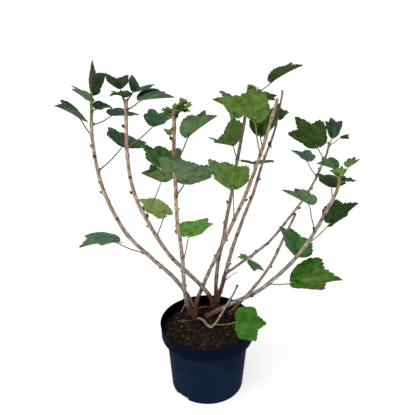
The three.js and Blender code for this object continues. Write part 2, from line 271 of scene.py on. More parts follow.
def bark(name, light, dark, old_light, old_dark):
    """Bark with a light and a dark for its young part, and for its old part."""
    material, tree, shader = finish(name, roughness=0.78, specular=0.25)
    straight = add(tree, "ShaderNodeAttribute", attribute_name="straight").outputs["Vector"]
    age = add(tree, "ShaderNodeAttribute", attribute_name="age").outputs["Fac"]
    drawn = drawn_out(tree, straight, STREAK_STRETCH)
    streaks = spread(tree, grain(tree, drawn, size=1.7, detail=5, roughness=0.62), low=0.4, high=0.6)
    patches = spread(tree, grain(tree, straight, size=16, detail=3), low=0.4, high=0.66)
    height = height_of(tree, object_place(tree))
    weathered = spread(tree, height, low=WEATHERED_FROM * MM, high=WEATHERED_TO * MM)
    young = blend(tree, streaks, linear(dark), linear(light))
    young = blend(tree, weathered, young, blend(tree, streaks, WEATHERED_DARK, WEATHERED_LIGHT))
    young = blend(tree, spread(tree, patches, low=0.35, high=1.6), young, linear(dark))
    old = blend(tree, streaks, linear(old_dark), linear(old_light))
    # The patches make the border between young and old bark ragged
    ragged = add(tree, "ShaderNodeMath", {0: patches, 1: 0.5}, operation="SUBTRACT").outputs["Value"]
    border = add(tree, "ShaderNodeMath", {0: ragged, 1: 0.5, 2: age}, operation="MULTIPLY_ADD")
    is_old = spread(tree, border.outputs["Value"], low=0.25, high=0.75)
    mixed = blend(tree, is_old, young, old)
    flat = drawn_out(tree, straight, LENTICEL_STRETCH)
    lenticels = spread(tree, cell_noise(tree, flat, LENTICEL_SPACING, "F1"), low=0.16, high=0.1)
    colour = blend(tree, lenticels, mixed, linear(old_dark))
    tree.links.new(colour, shader.inputs["Base Color"])
    fine = grain(tree, drawn, size=0.7, detail=3, roughness=0.7)
    relief(tree, shader, fine, strength=0.7, depth=0.5)
    return material


BARK_TAN = bark("redcurrant_bark_silvery_tan", "#d4baa0", "#715a49", "#98694f", "#402a21")
BARK_BROWN = bark("redcurrant_bark_grey_brown", "#bba594", "#5c4a40", "#865a49", "#38241f")
BARK_GREY = bark("dead_twig_grey_beige", "#d3c5b8", "#857567", "#7b6655", "#3a2c25")
BARK_RED = bark("redcurrant_shoot_reddish", "#a98670", "#5b3d31", "#6d4a3a", "#33211b")
BARK_GREEN = bark("green_shoot_bark", "#93986b", "#5d6543", "#6d5a40", "#3b2f22")
print("bark: five finishes,", len(BARK_TAN.node_tree.nodes), "nodes each")

# %% [markdown]
# The old wood at the foot is cracked into small plates with orange-brown bark between them. It is
# one lump with no "straight" vector of its own, so its pattern is tied to the room and drawn out
# upwards. The distance to the edge of a cell gives the cracks, which a plain noise can't.

# %% Old bark
PLATE_SIZE = 2.6
PLATE_STRETCH = 0.35


def cracked_bark(name, plate, crack, fresh):
    """Old bark with plates, dark cracks between them and patches of fresh bark."""
    material, tree, shader = finish(name, roughness=0.9, specular=0.2)
    place = object_place(tree)
    drawn = drawn_out(tree, place, PLATE_STRETCH)
    to_edge = cell_noise(tree, drawn, PLATE_SIZE, "DISTANCE_TO_EDGE")
    cracks = spread(tree, to_edge, low=0.02, high=0.2)
    patches = spread(tree, grain(tree, place, size=8, detail=4), low=0.42, high=0.66)
    colour = blend(tree, patches, linear(plate), linear(fresh))
    colour = blend(tree, cracks, linear(crack), colour)
    tree.links.new(colour, shader.inputs["Base Color"])
    fine = grain(tree, drawn, size=1.4, detail=5, roughness=0.7)
    relief(tree, shader, fine, strength=0.9, depth=0.9)
    return material


OLD_ORANGE = cracked_bark("old_bark_orange_brown", "#8a5c46", "#2e1d16", "#bd7c52")
OLD_RED = cracked_bark("old_bark_red_brown", "#785046", "#281916", "#9c6854")
print("old bark:", OLD_ORANGE.name, "and", OLD_RED.name)

# %% [markdown]
# Pruned ends show dry pale wood with a darker pith, and buds wear dry brown scales. These are
# small in the picture, so a mix of two tones with a fine bump is enough for them.

# %% Cut wood and bud scales
def plain_wood(name, light, dark, size):
    """Dry wood of two tones, with a grain of that size in millimetres."""
    material, tree, shader = finish(name, roughness=0.85, specular=0.2)
    place = object_place(tree)
    pattern = spread(tree, grain(tree, place, size=size, detail=4), low=0.35, high=0.65)
    tree.links.new(blend(tree, pattern, linear(dark), linear(light)), shader.inputs["Base Color"])
    relief(tree, shader, grain(tree, place, size=size / 2, detail=3), strength=0.5, depth=0.3)
    return material


CUT_WOOD = plain_wood("pruned_wood_dry", "#cfae8c", "#9c7a5c", 1.2)
PITH = plain_wood("pith_brown", "#7c5b41", "#4e382a", 0.8)
BUD_SCALES = plain_wood("bud_scales_brown", "#5e4035", "#2f1d19", 1.5)
BUD_DARK = plain_wood("bud_scales_dark", "#3a251f", "#160e0d", 1.5)
print("wood:", CUT_WOOD.name, PITH.name, BUD_SCALES.name, BUD_DARK.name)

# %% [markdown]
# A leaf is darker and smoother above than below, and paler along its veins. A photograph of a
# leaf would repeat on all of them, so each side of a blade is a plain green with a slight
# mottle, and the veins, which are modelled, get a paler one. Scorched, rusted and yellowed
# places and the stalks are made by the same recipe.

# %% Leaf finishes
def leaf_skin(name, dark, light, roughness):
    """The mottled skin of a leaf or a stalk."""
    material, tree, shader = finish(name, roughness=roughness, specular=0.12)
    place = object_place(tree)
    patches = spread(tree, grain(tree, place, size=13, detail=5, roughness=0.62), low=0.36, high=0.64)
    tree.links.new(blend(tree, patches, linear(dark), linear(light)), shader.inputs["Base Color"])
    fine = grain(tree, place, size=2.2, detail=4, roughness=0.6)
    relief(tree, shader, fine, strength=0.4, depth=0.5)
    return material


SCORCHED = leaf_skin("leaf_edge_scorched_brown", "#3b2412", "#8a5531", 0.8)
RUSTED = leaf_skin("leaf_spot_rust", "#4b4024", "#755a34", 0.75)
YELLOWED = leaf_skin("leaf_patch_yellowed", "#406222", "#6e8038", 0.65)
STALK_GREEN = leaf_skin("stalk_grey_green", "#51604a", "#6f7c62", 0.6)
STALK_YELLOW = leaf_skin("stalk_yellow_green", "#6f7d42", "#93a05c", 0.6)
STALK_RED = leaf_skin("stalk_reddish", "#5f5448", "#7c6c5c", 0.6)
print("marks:", SCORCHED.name, RUSTED.name, YELLOWED.name)

# %% [markdown]
# The leaves of one bush differ, from the bluish green of full light to the yellow green of a
# shoot tip. A dozen tones are enough for that, and each leaf takes one of them by name. The
# dusk tone is partly painted shade: it is darker than its leaves' own green, for leaves that hang
# in shade.

# %% Leaf tones
SMOOTH_SIDE, DULL_SIDE = 0.55, 0.7

# Each tone: dark and light of the upper side, of the underside, and of the veins on both
TONES = {
    "deep": ("#203817", "#395624", "#2a421c", "#445e2a", "#3d562d", "#667949"),
    "dark": ("#192b14", "#2e4520", "#213419", "#384b25", "#314527", "#546241"),
    # dusk is partly painted shade, darker than these leaves' own green
    "dusk": ("#1f3623", "#38573a", "#263f2a", "#406041", "#3e5c42", "#6b8364"),
    "blue": ("#253f2c", "#446444", "#3c5a3e", "#5f7d56", "#496a4c", "#8b9f7c"),
    "mid": ("#2c5022", "#4c7636", "#446636", "#6c8a4a", "#52763e", "#8fa268"),
    "bright": ("#275411", "#437824", "#4b6f2c", "#6c8d3d", "#46752c", "#869c5c"),
    "fresh": ("#427a24", "#6ba044", "#557a34", "#7a9a48", "#6a9846", "#97ab6b"),
    "pale": ("#758c47", "#9aaf63", "#809754", "#a7b975", "#99ab6b", "#bfca94"),
    "young": ("#38541d", "#779144", "#516d2c", "#819951", "#6f8946", "#93a067"),
    "olive": ("#2f511e", "#4c752a", "#416525", "#6e8d40", "#507134", "#9aac61"),
    "grey": ("#385941", "#567853", "#4f6f53", "#859b6d", "#5a7859", "#a5b287"),
    "sage": ("#294930", "#40633d", "#3b5b3d", "#668052", "#446343", "#7f9467"),
}
SIDES = ("upper", "under", "vein_upper", "vein_under")
LEAF_SKINS = {}
for tone, (top_dark, top_light, low_dark, low_light, vein_top, vein_low) in TONES.items():
    pairs = ((top_dark, top_light), (low_dark, low_light), (vein_top, vein_top), (vein_low, vein_low))
    LEAF_SKINS[tone] = [
        leaf_skin(f"leaf_{tone}_{side}", dark, light, SMOOTH_SIDE if side == "upper" else DULL_SIDE)
        for side, (dark, light) in zip(SIDES, pairs)
    ]
print(len(TONES), "tones,", len(bpy.data.materials), "materials in all")

# %% [markdown]
# The canes and leaves hold thousands of small faces that repeat. Each leaf could be an object,
# but hundreds of objects are slow and fill the list of pieces, so the faces are gathered as
# arrays of points and made into one mesh for each kind. A heap keeps what has been gathered.

# %% A heap of small things
class Heap:
    """Points and faces of many things that become one mesh."""

    def __init__(self):
        self.points, self.faces, self.slots, self.finishes = [], [], [], []
        self.marks = {}
        self.count = 0

    def put(self, points, faces, finish, marks=None):
        """Adds points and faces. finish is one material, or one for each face."""
        several = isinstance(finish, list)
        for number, face in enumerate(faces):
            material = finish[number] if several else finish
            if material not in self.finishes:
                self.finishes.append(material)
            self.slots.append(self.finishes.index(material))
            self.faces.append([corner + self.count for corner in face])
        self.points.append(np.asarray(points, float))
        self.count += len(points)
        for key, values in (marks or {}).items():
            self.marks.setdefault(key, []).append(np.asarray(values, np.float32))

    def mesh(self, name):
        """The heap as one object at the origin, which rides on the plant."""
        data = bpy.data.meshes.new(name)
        data.from_pydata((np.vstack(self.points) * MM).tolist(), [], self.faces)
        for material in self.finishes:
            data.materials.append(material)
        data.polygons.foreach_set("material_index", self.slots)
        data.polygons.foreach_set("use_smooth", [True] * len(self.faces))
        for key, values in self.marks.items():
            joined = np.concatenate(values)
            kind, field = ("FLOAT_VECTOR", "vector") if joined.ndim == 2 else ("FLOAT", "value")
            data.attributes.new(key, kind, "POINT").data.foreach_set(field, joined.ravel())
        data.update()
        piece = bpy.data.objects.new(name, data)
        bpy.context.scene.collection.objects.link(piece)
        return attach(piece, "root")


def skin(rings, sides):
    """The quads between closed rings of points, each ring with that many sides."""
    faces = []
    for ring in range(rings - 1):
        here, above = ring * sides, (ring + 1) * sides
        for s in range(sides):
            after = (s + 1) % sides
            faces.append([here + s, here + after, above + after, above + s])
    return faces


def tell(piece):
    """Prints what a piece is made of."""
    print(piece.name, len(piece.data.polygons), "faces")


print("three rings of four sides make", len(skin(3, 4)), "faces")

# %% [markdown]
# A cane's course is a smooth line through a few known places. A curve object with a bevel could
# be a cane, but a bevel can't carry ridges and swellings, so the line is worked out here and the
# bark is built round it. It is a centripetal spline, because that kind passes through each place
# and never loops between uneven ones. It is walked in small steps, so that a share of its length
# or a height can be found on it.

# %% Smooth courses
SPAN_STEPS = 24


class Course:
    """A smooth line through points, measured along its length."""

    def __init__(self, points):
        points = np.array(points, float)
        ends = np.vstack([2 * points[0] - points[1], points, 2 * points[-1] - points[-2]])
        walked = [points[:1]]
        t = np.arange(1, SPAN_STEPS + 1)[:, None] / SPAN_STEPS
        for a, b, c, d in zip(ends, ends[1:], ends[2:], ends[3:]):
            k0, k1, k2 = [math.sqrt(np.linalg.norm(q - p)) for p, q in ((a, b), (b, c), (c, d))]
            leave = ((b - a) / k0 - (c - a) / (k0 + k1) + (c - b) / k1) * k1
            arrive = ((c - b) / k1 - (d - b) / (k1 + k2) + (d - c) / k2) * k1
            bend = 3 * (c - b) - 2 * leave - arrive
            close = 2 * (b - c) + leave + arrive
            walked.append(b + leave * t + bend * t**2 + close * t**3)
        self.places = np.vstack(walked)
        steps = np.linalg.norm(np.diff(self.places, axis=0), axis=1)
        self.walked = np.concatenate([[0], np.cumsum(steps)])
        self.length = self.walked[-1]

    def at(self, share):
        """The place at a share of the length, or the places at several."""
        wanted = np.asarray(share) * self.length
        return np.stack([np.interp(wanted, self.walked, axis) for axis in self.places.T], -1)

    def share_at(self, height, lowest=0.0):
        """The share of the length where a height is first reached, past a lowest share."""
        above = (self.places[:, 2] >= height) & (self.walked >= lowest * self.length)
        after = int(np.argmax(above))
        if after == 0:
            return 0.0
        z0, z1 = self.places[after - 1, 2], self.places[after, 2]
        part = np.clip((height - z0) / (z1 - z0), 0, 1)
        before, step = self.walked[after - 1], self.walked[after] - self.walked[after - 1]
        return float((before + part * step) / self.length)


arch = Course([(0, 0, 0), (50, 0, 50), (100, 0, 0)])
print("an arch 100 mm wide and 50 mm high is", round(arch.length), "mm long")

# %% [markdown]
# Four helpers find directions. A tube needs two directions across its line at each ring. They
# could be worked out afresh at each place, but then the tube might twist, so each pair is
# carried on from the last one.

# %% Directions along a course
# Any direction will do that no course starts along
FIRST_SIDE = (0.3, 1, 0.1)


def heading(bearing, rise):
    """The unit vector with a bearing turned from +X about +Z, and a rise above the level."""
    level = math.cos(math.radians(rise))
    turned = math.radians(bearing)
    return np.array([level * math.cos(turned), level * math.sin(turned), math.sin(math.radians(rise))])


def side_frames(places):
    """Directions along a line, and two across it that are carried on without a twist."""
    along = np.gradient(places, axis=0)
    along /= np.linalg.norm(along, axis=1, keepdims=True)
    side = np.cross(along[0], FIRST_SIDE)
    sides = []
    for direction in along:
        side = side - direction * (side @ direction)
        side /= np.linalg.norm(side)
        sides.append(side)
    sides = np.array(sides)
    return along, sides, np.cross(along, sides)


def end_direction(course, share):
    """The direction from a share of a course to its end."""
    along = course.at(1.0) - course.at(share)
    return along / np.linalg.norm(along)


def frame_at(course, share, bearing, step):
    """A place on a course, the direction there, and the way out of it on a bearing."""
    along = course.at(min(1, share + step)) - course.at(max(0, share - step))
    along /= np.linalg.norm(along)
    outward = heading(bearing, 0)
    outward = outward - along * (outward @ along)
    return course.at(share), along, outward / np.linalg.norm(outward)


print("a bearing of 90 points to", heading(90, 0).round(3) + 0.0)

# %% [markdown]
# The canes stand where the model has them, so the model's own rule is written again here: how
# far right each cane is at shared heights, its depth at three places, and its two radii. Canes
# could be traced from the solids instead, but a rule keeps them smooth.

# %% Canes
LEVELS = [150, 175, 205, 245, 290, 340, 400, 460, 530]
CANES = {
    "far_left": dict(
        foot=130, top=615, radii=(4.4, 2.7), depth=(33, -4, -35),
        right=[-25, -27, -33, -45, -70, -109, -149, -175, -190, -195, -188],
    ),
    "left": dict(
        foot=130, top=612, radii=(4.4, 2.7), depth=(56, -12, -75),
        right=[17, 12, 7, -8, -37, -70, -95, -118, -132, -133, -127],
    ),
    "front": dict(
        foot=130, top=603, radii=(4.0, 2.9), depth=(33, -45, -110),
        right=[-26, -33, -41, -44, -46, -46, -49, -53, -53, -53, -50],
    ),
    "centre": dict(
        foot=130, top=593, radii=(4.2, 2.9), depth=(33, 52, 30),
        right=[-25, -25, -21, -9, 7, 27, 48, 72, 91, 109, 122],
    ),
    "back": dict(
        foot=130, top=600, radii=(4.2, 3.0), depth=(56, 86, 125),
        right=[17, 17, 18, 18, 22, 31, 39, 50, 59, 71, 79],
    ),
    "back_right": dict(
        foot=130, top=596, radii=(4.8, 1.7), depth=(56, 66, 78),
        right=[17, 20, 25, 33, 42, 53, 69, 89, 105, 127, 137],
    ),
    "right": dict(
        foot=224, top=490, radii=(2.9, 2.2), depth=(60, 82, 105),
        right=[38, 66, 123, 163, 204, 230, 238],
    ),
    "short_right": dict(
        foot=130, top=344, radii=(3.6, 2.5), depth=(52, 72, 92),
        right=[48, 63, 86, 110, 135, 155, 179],
    ),
    "far_right": dict(
        foot=130, top=482, radii=(4.8, 2.6), depth=(43, -14, -60),
        right=[-1, 21, 53, 96, 131, 161, 185, 206, 222, 221],
    ),
}
STOCKS = {
    "left": dict(canes=["far_left", "front", "centre"], top=170),
    "middle": dict(canes=["left", "back", "back_right"], top=188),
}
print(len(CANES), "canes and", len(STOCKS), "stocks")

# %% [markdown]
# The depth at any height comes from a parabola through the three depths, which is as much as
# one picture can tell. Each course is then drawn through the shared heights.

# %% Courses of the canes
LEVEL_MARGIN = 10


def depth_at(cane, height):
    """Depth of a cane at a height, from its three named depths."""
    t = (height - cane["foot"]) / (cane["top"] - cane["foot"])
    at_foot, halfway, at_top = cane["depth"]
    return at_foot * (1 - t) * (1 - 2 * t) + 4 * halfway * t * (1 - t) + at_top * t * (2 * t - 1)


for name, cane in CANES.items():
    foot, top = cane["foot"], cane["top"]
    between = [z for z in LEVELS if foot + LEVEL_MARGIN < z < top - LEVEL_MARGIN]
    heights = [foot, *between, top]
    cane["course"] = Course([(x, depth_at(cane, z), z) for x, z in zip(cane["right"], heights)])
    cane["start"] = foot
for stock in STOCKS.values():
    for name in stock["canes"]:
        CANES[name]["start"] = stock["top"]
print({name: round(cane["course"].length) for name, cane in CANES.items()})

# %% [markdown]
# The leaves grow by the model's rule too. They could be scattered by chance, but then it would
# be another bush, so each leaf has a row. A row gives the height on the cane, the stalk's
# bearing, rise and reach, the blade's bearing, lift, roll and size, its fold and its curl, the
# tone that the leaf has in the light, its habit, and how deep its bays are.

# %% Leaf places
LEAVES = {
    "far_left": [
        [300, -176, 24, 62, 204, 16, 10, 67, 20, 0.25, "grey", "fuller_right", 0],
        [475, 30, 38, 62, 89, 0, 22, 67, 17, -0.04, "blue", "long", 0.03],
        [541, 139, 40, 39, 204, 41, -1, 55, 18, 0.15, "dusk", "blunt", 0],
        [560, 39, 15, 42, 27, -4, 2, 49, 13, 0.03, "blue", "long", 0.08],
        [585, -23, 27, 12, 39, 15, 14, 26, 29, 0.32, "deep", "fuller_right", 0],
        [605, -169, -41, 3, 216, 44, 7, 41, 1, 0, "blue", "wedge", 0.08],
        [612, 93, 15, 9, 63, 81, -26, 51, -19, -0.01, "dark", "wedge", 0.09],
    ],
    "left": [
        [340, 64, 51, 47, 159, 29, 9, 61, -1, 0.14, "pale", "fuller_right", 0],
        [385, 51, 53, 72, 216, 31, -9, 47, 46, -0.01, "mid", "fuller_left", 0],
        [530, 36, 28, 60, 59, 14, 13, 49, 33, 0.05, "grey", "long", 0.11],
        [595, -8, 33, 30, 19, 6, -6, 54, 30, 0.12, "blue", "wedge", 0.01],
        [600, 119, 52, 34, 106, 24, -1, 36, 41, 0.15, "dark", "fuller_left", 0],
        [608, 57, 37, 24, 74, 9, 30, 43, 49, 0.26, "dusk", "fuller_right", 0],
        [608, 132, 49, 10, 236, 34, 5, 29, 35, 0.39, "deep", "fuller_left", 0.11],
    ],
    "front": [
        [295, 74, 45, 56, 57, 10, -12, 67, 11, 0.01, "fresh", "long", 0],
        [450, -41, 53, 35, 275, 44, -11, 88, 24, 0.04, "sage", "long", 0.01],
        [495, 116, -4, 37, 108, 23, 7, 59, 27, 0, "mid", "fuller_left", 0.09],
        [510, -48, 56, 66, 339, 42, -6, 58, 44, 0.1, "sage", "wedge", 0],
        [555, 137, 31, 13, 128, 37, 10, 15, 27, 0.19, "young", "long", 0.12],
        [592, 10, 58, 19, 15, 30, -10, 17, 35, 0.1, "young", "blunt", 0.12],
        [597, 165, 35, 6, 180, 20, 10, 15, 35, 0.1, "young", "blunt", 0.12],
        [600, 75, 40, 8, 40, 25, 0, 12, 35, 0.1, "young", "blunt", 0.12],
        [600, -70, 30, 6, 330, 15, 0, 11, 35, 0.1, "young", "blunt", 0.12],
    ],
    "centre": [
        [350, -102, 76, 77, 242, 62, 15, 69, 35, 0.05, "olive", "fuller_right", 0],
        [450, 86, 8, 36, 91, -5, 1, 56, 16, 0.24, "grey", "fuller_right", 0.21],
        [485, -134, 73, 69, 212, 32, 10, 101, 37, 0.05, "olive", "wedge", 0],
        [500, 94, 21, 42, 71, 41, 6, 61, 50, -0.09, "deep", "fuller_right", 0],
    ],
    "back": [
        [460, -126, 60, 35, 234, 20, 34, 65, 45, 0.03, "olive", "fuller_left", 0.02],
        [495, -140, 70, 55, 143, 60, 70, 49, 20, 0.1, "olive", "even", 0.12],
        [575, -1, 34, 58, 336, 37, -3, 63, 28, 0.12, "deep", "wedge", 0],
        [588, 3, -22, 32, 25, 3, 18, 31, 5, 0.07, "dusk", "long", 0.05],
        [586, -30, 35, 6, 350, 25, 0, 17, 25, 0.1, "young", "even", 0.12],
        [588, -20, 45, 5, 40, 30, 0, 13, 25, 0.1, "young", "even", 0.12],
    ],
    "right": [
        [258, 160, 0, 5, 179, 3, 0, 18, 8, 0.05, "fresh", "even", 0.12],
        [268, -172, -58, 20, 332, -23, -14, 36, -9, 0.03, "grey", "wedge", 0],
        [425, -158, 54, 45, 125, 18, 7, 46, 26, 0.1, "grey", "long", 0.14],
        [460, -130, 44, 51, 181, 51, 48, 70, 7, 0.03, "deep", "wedge", 0.08],
        [485, 62, 32, 24, 90, 52, 1, 42, 50, 0, "blue", "wedge", 0.02],
        [485, -15, 42, 29, 11, 28, 3, 18, -17, 0.27, "dark", "wedge", 0.04],
    ],
    "far_right": [
        [230, -5, 6, 52, 351, 13, 8, 91, 23, 0.08, "bright", "wedge", 0],
        [260, 30, 39, 50, 97, 29, 27, 63, 24, 0.06, "mid", "fuller_left", 0],
        [330, 25, 34, 67, 0, 41, 14, 60, 31, 0.02, "deep", "long", 0],
        [366, -145, 69, 62, 174, 27, 22, 54, 37, 0.04, "sage", "long", 0.11],
        [435, 85, 23, 33, 85, 14, 5, 43, 26, 0.13, "dark", "even", 0.05],
        [470, 0, 10, 13, 0, 0, 0, 16, 10, 0, "blue", "even", 0.12],
        [475, -18, 61, 27, 320, 37, -6, 25, 49, -0.1, "olive", "long", 0.15],
        [478, 98, 18, 24, 150, 13, 0, 33, 49, 0.06, "sage", "fuller_left", 0],
        [480, 60, 55, 6, 60, 60, 0, 14, 20, 0, "young", "even", 0.12],
    ],
}
RIM_LEAF = [136, -45, 32, 79, 2, -4, 34, 53, -11, 0.15, "bright", "even", 0]
# From this height on, a cane's leaves belong to its leafy top in the model
CROWNS = {"far_left": 540, "left": 585, "front": 545, "back": 572, "right": 450, "far_right": 458}

# Small leaves that the model leaves out, and the rows are as above
SMALL_LEAVES = {
    "back_right": [
        [546, 12, -12, 5, 34, 38, 18, 23, 46, 0.06, "mid", "broad", 0],
        [502, -60, 0, 3, -100, -60, 45, 12, 45, 0.1, "mid", "long", 0],
    ],
}

# Tufts of unfolding leaves: height, the shoot's bearing, rise and reach, how many, largest size
TUFTS = {
    "front": [(598, 172, 8, 14, 7, 12), (599, 10, 42, 24, 10, 15)],
    "back": [(592, 330, 40, 7, 3, 13)],
    "far_right": [(478, 175, 40, 12, 4, 13)],
    "right": [(487, 60, 50, 5, 2, 11)],
}
print(sum(len(rows) for rows in LEAVES.values()) + 1, "leaves")

# %% [markdown]
# Buds sit where a leaf has been, every few centimetres up a cane and turned by 144 degrees from
# the last one, which is how this bush sets them. They could all be strewn by that rule, but some
# show clearly in the picture, so these are listed and the rule fills in the rest.

# %% Bud places
BUD_STEP = 37
BUD_STEP_VARIES = (0.8, 1.2)
BUD_TURN = 144
BUD_CLEAR = 14
FIRST_BUD, LAST_BUD = 26, 20
SEEN_BUDS = {
    "far_left": [(504, -80), (433, 180)],
    "left": [(566, 180), (440, 185), (385, 10)],
    "front": [(556, 190), (594, -20)],
    "centre": [(393, -10)],
    "back": [(371, 180)],
    "right": [(363, 0), (351, -20)],
    "far_right": [(368, 170), (400, -60)],
}


def bud_places(name, cane):
    """Heights and bearings of a cane's buds: those that show, then those of the rule."""
    found = list(SEEN_BUDS.get(name, []))
    leaves = LEAVES.get(name, []) + SMALL_LEAVES.get(name, [])
    taken = [height for height, _ in found] + [row[0] for row in leaves]
    dice = random.Random(name)
    height = cane["start"] + FIRST_BUD
    bearing = dice.uniform(0, 360)
    while height < cane["top"] - LAST_BUD:
        if all(abs(height - other) > BUD_CLEAR for other in taken):
            found.append((height, bearing))
        height += BUD_STEP * dice.uniform(*BUD_STEP_VARIES)
        bearing += BUD_TURN
    return found


for name, cane in CANES.items():
    cane["buds"] = bud_places(name, cane)
print(sum(len(cane["buds"]) for cane in CANES.values()), "buds on bare wood")

# %% [markdown]
# Bark isn't smooth. Long ridges run up it, and it swells at each leaf or bud, where the scar of
# an old leaf leaves it darker. A displace modifier could push a plain tube about, but it knows
# nothing of buds, so one function says how far the bark stands out at a place. Its noise is read
# on the straightened cane, so that the ridges run along it.

# %% Relief of the bark
RIDGE, RIDGE_SIZE, RIDGE_STRETCH = 0.34, 2.6, 7
FINE_RIDGE, FINE_SIZE, FINE_STRETCH = 0.16, 1.1, 4
FINE_SHIFT = 9
SWELLING, SWELLING_LENGTH, SWELLING_REACH = 0.9, 4.0, 3
SWELLING_ALL_ROUND = 0.35
SCAR = 0.85


def ridges(x, y, z, size, stretch):
    """A noise on the straightened cane, drawn out along it."""
    return noise.noise(Vector((x / size, y / size, z / (size * stretch))))


def bark_relief(x, y, walked, outward, knots, rough, seed):
    """How far the bark stands out at a place, and how much of a scar is there."""
    bump = RIDGE * ridges(x + seed, y, walked, RIDGE_SIZE, RIDGE_STRETCH)
    bump += FINE_RIDGE * ridges(x + seed, y + FINE_SHIFT, walked, FINE_SIZE, FINE_STRETCH)
    swollen, scar = 0.0, 0.0
    for knot, direction in knots:
        near = (walked - knot) / SWELLING_LENGTH
        if abs(near) < SWELLING_REACH:
            lean = max(0.0, float(outward @ direction))
            bell = math.exp(-near * near)
            swollen = max(swollen, SWELLING * bell * (SWELLING_ALL_ROUND + lean * lean))
            scar = max(scar, SCAR * bell * lean)
    return bump * rough + swollen, scar


print("bark stands out by", RIDGE + FINE_RIDGE, "mm, and by", SWELLING, "mm more at a bud")

# %% [markdown]
# A pruned cane ends in a flat cut with a ring of pale wood and a darker pith. A shoot that is
# still growing ends in a rounded point. Both are made of a few more rings after the last one.

# %% The end of a cane
# Each ring of a cut: how wide it is, as a share of the cane, and how far it stands out
CUT_RINGS = ((0.8, 0.25), (0.22, 0.1))
POINT_WIDTH, POINT_LENGTH, POINT_TIP = 0.55, 0.7, 0.6


def end_rings(ring, out, radius, cut):
    """The rings that follow a cane's last one."""
    centre = ring.mean(0)
    if cut:
        return [centre + (ring - centre) * width + out * rise for width, rise in CUT_RINGS]
    return [centre + (ring - centre) * POINT_WIDTH + out * radius * POINT_LENGTH]


print("a cut has", len(CUT_RINGS), "rings, and a growing point has 1")

# %% [markdown]
# Now the tube itself. Its rings follow the course, and its middle line wanders a little, because
# no cane is as smooth as a spline. Each corner of a ring is pushed out by the relief, and it
# keeps its place on the straightened cane and its age for the finish.

# %% Bark with relief
CANE_SIDES = 18
RING_STEP = 2.2
FEWEST_RINGS = 6
WANDER, WANDER_LENGTH = 0.7, 38
FADE_RINGS = 6
FLARE_LENGTH = 7
SEED_SHIFT = 100


def radius_at(radii, share):
    """The radius at a share of a cane's length, from its two radii."""
    return radii[0] + (radii[1] - radii[0]) * share


def bark_tube(heap, course, radii, knots, finish, start=0.0, end=1.0, sides=CANE_SIDES, rough=1.0,
              age=lambda height: 0.0, cut=True, seed=0.0, flare=0.0):
    """Adds a stretch of a cane, with relief, to a heap."""
    count = max(FEWEST_RINGS, round((end - start) * course.length / RING_STEP))
    shares = np.linspace(start, end, count + 1)
    places = course.at(shares)
    along, side, other = side_frames(places)
    turns = np.arange(sides) * 2 * math.pi / sides
    points, straight, ages = [], [], []
    for i, share in enumerate(shares):
        walked = share * course.length
        radius = radius_at(radii, share) + flare * math.exp(-walked / FLARE_LENGTH)
        middle = places[i].copy()
        fade = min(1, i / FADE_RINGS)
        middle += side[i] * WANDER * fade * noise.noise(Vector((seed, 0, walked / WANDER_LENGTH)))
        middle += other[i] * WANDER * fade * noise.noise(Vector((0, seed, walked / WANDER_LENGTH)))
        for turn in turns:
            outward = side[i] * math.cos(turn) + other[i] * math.sin(turn)
            x, y = radius * math.cos(turn), radius * math.sin(turn)
            bump, scar = bark_relief(x, y, walked, outward, knots, rough, seed)
            points.append(middle + outward * (radius + bump))
            straight.append((x * MM, y * MM, (walked + SEED_SHIFT * seed) * MM))
            ages.append(min(1.0, age(middle[2]) + scar))
    faces = skin(count + 1, sides)
    finishes = [finish] * len(faces)
    # The last ring, the rings that end the cane, and the point in the middle of the last of them
    last = count * sides
    rings = end_rings(np.array(points[last:]), along[-1], radii[1], cut)
    for extra in rings:
        points.extend(extra)
        straight.extend(straight[last : last + sides])
        ages.extend(ages[last : last + sides])
    faces += [[corner + last for corner in face] for face in skin(len(rings) + 1, sides)]
    finishes += [CUT_WOOD if cut else finish] * (len(rings) * sides)
    tip = last + len(rings) * sides
    faces += [[tip + s, tip + (s + 1) % sides, tip + sides] for s in range(sides)]
    finishes += [PITH if cut else finish] * sides
    points.append(np.mean(points[tip : tip + sides], axis=0) + along[-1] * (0 if cut else POINT_TIP))
    # The point that closes the foot
    foot = len(points)
    faces += [[(s + 1) % sides, s, foot] for s in range(sides)]
    finishes += [finish] * sides
    points.append(np.mean(points[:sides], axis=0))
    straight += [straight[last], straight[0]]
    ages += [ages[last], ages[0]]
    heap.put(points, faces, finishes, {"straight": straight, "age": ages})


print("a cane has", CANE_SIDES, "sides and a ring every", RING_STEP, "mm")

# %% [markdown]
# Old wood turns dark at the foot, over a different height on each cane, so a soft step of the
# height gives the bark its age. Three canes end in a young shoot of another colour: a green one,
# a reddish one, and one that turns from reddish to green. Two of these thin out faster as well.
# Three bits of wood that are too small for the model are added: a dead stub, a dry twig, and a
# short shoot beside the front cane's cut.

# %% Old wood, young shoots and small wood
OLD_BELOW = {
    "far_left": 186, "left": 196, "front": 182, "centre": 188, "back": 200, "back_right": 226,
    "right": 236, "short_right": 176, "far_right": 158,
}
OLD_FADE = 16
BARKS = {name: BARK_BROWN for name in ("back", "back_right", "right", "far_right")}
LIVING_TIPS = {"far_left", "right", "far_right", "back_right"}
TIPS = {
    "far_left": [(566, BARK_GREEN)],
    "far_right": [(450, BARK_RED), (469, BARK_GREEN)],
    "back_right": [(555, BARK_RED)],
}
TIP_SLIMNESS = {"far_left": 0.72, "far_right": 0.72, "back_right": 1.0}
TIP_ROUGH = 0.5
TIP_OVERLAP = 0.01
FOOT_FLARE = {"short_right": 2.2, "far_right": 3.2}
FOOT_ROUGH = {"far_right": 1.7, "short_right": 1.3}
SMALL_SIDES = 8
DEAD_STUB = dict(
    way=[(-42, 16, 186), (-47, 14, 174), (-53, 13, 162)], radii=(1.7, 0.6), look=BARK_GREY,
    cut=True, seed=40,
)
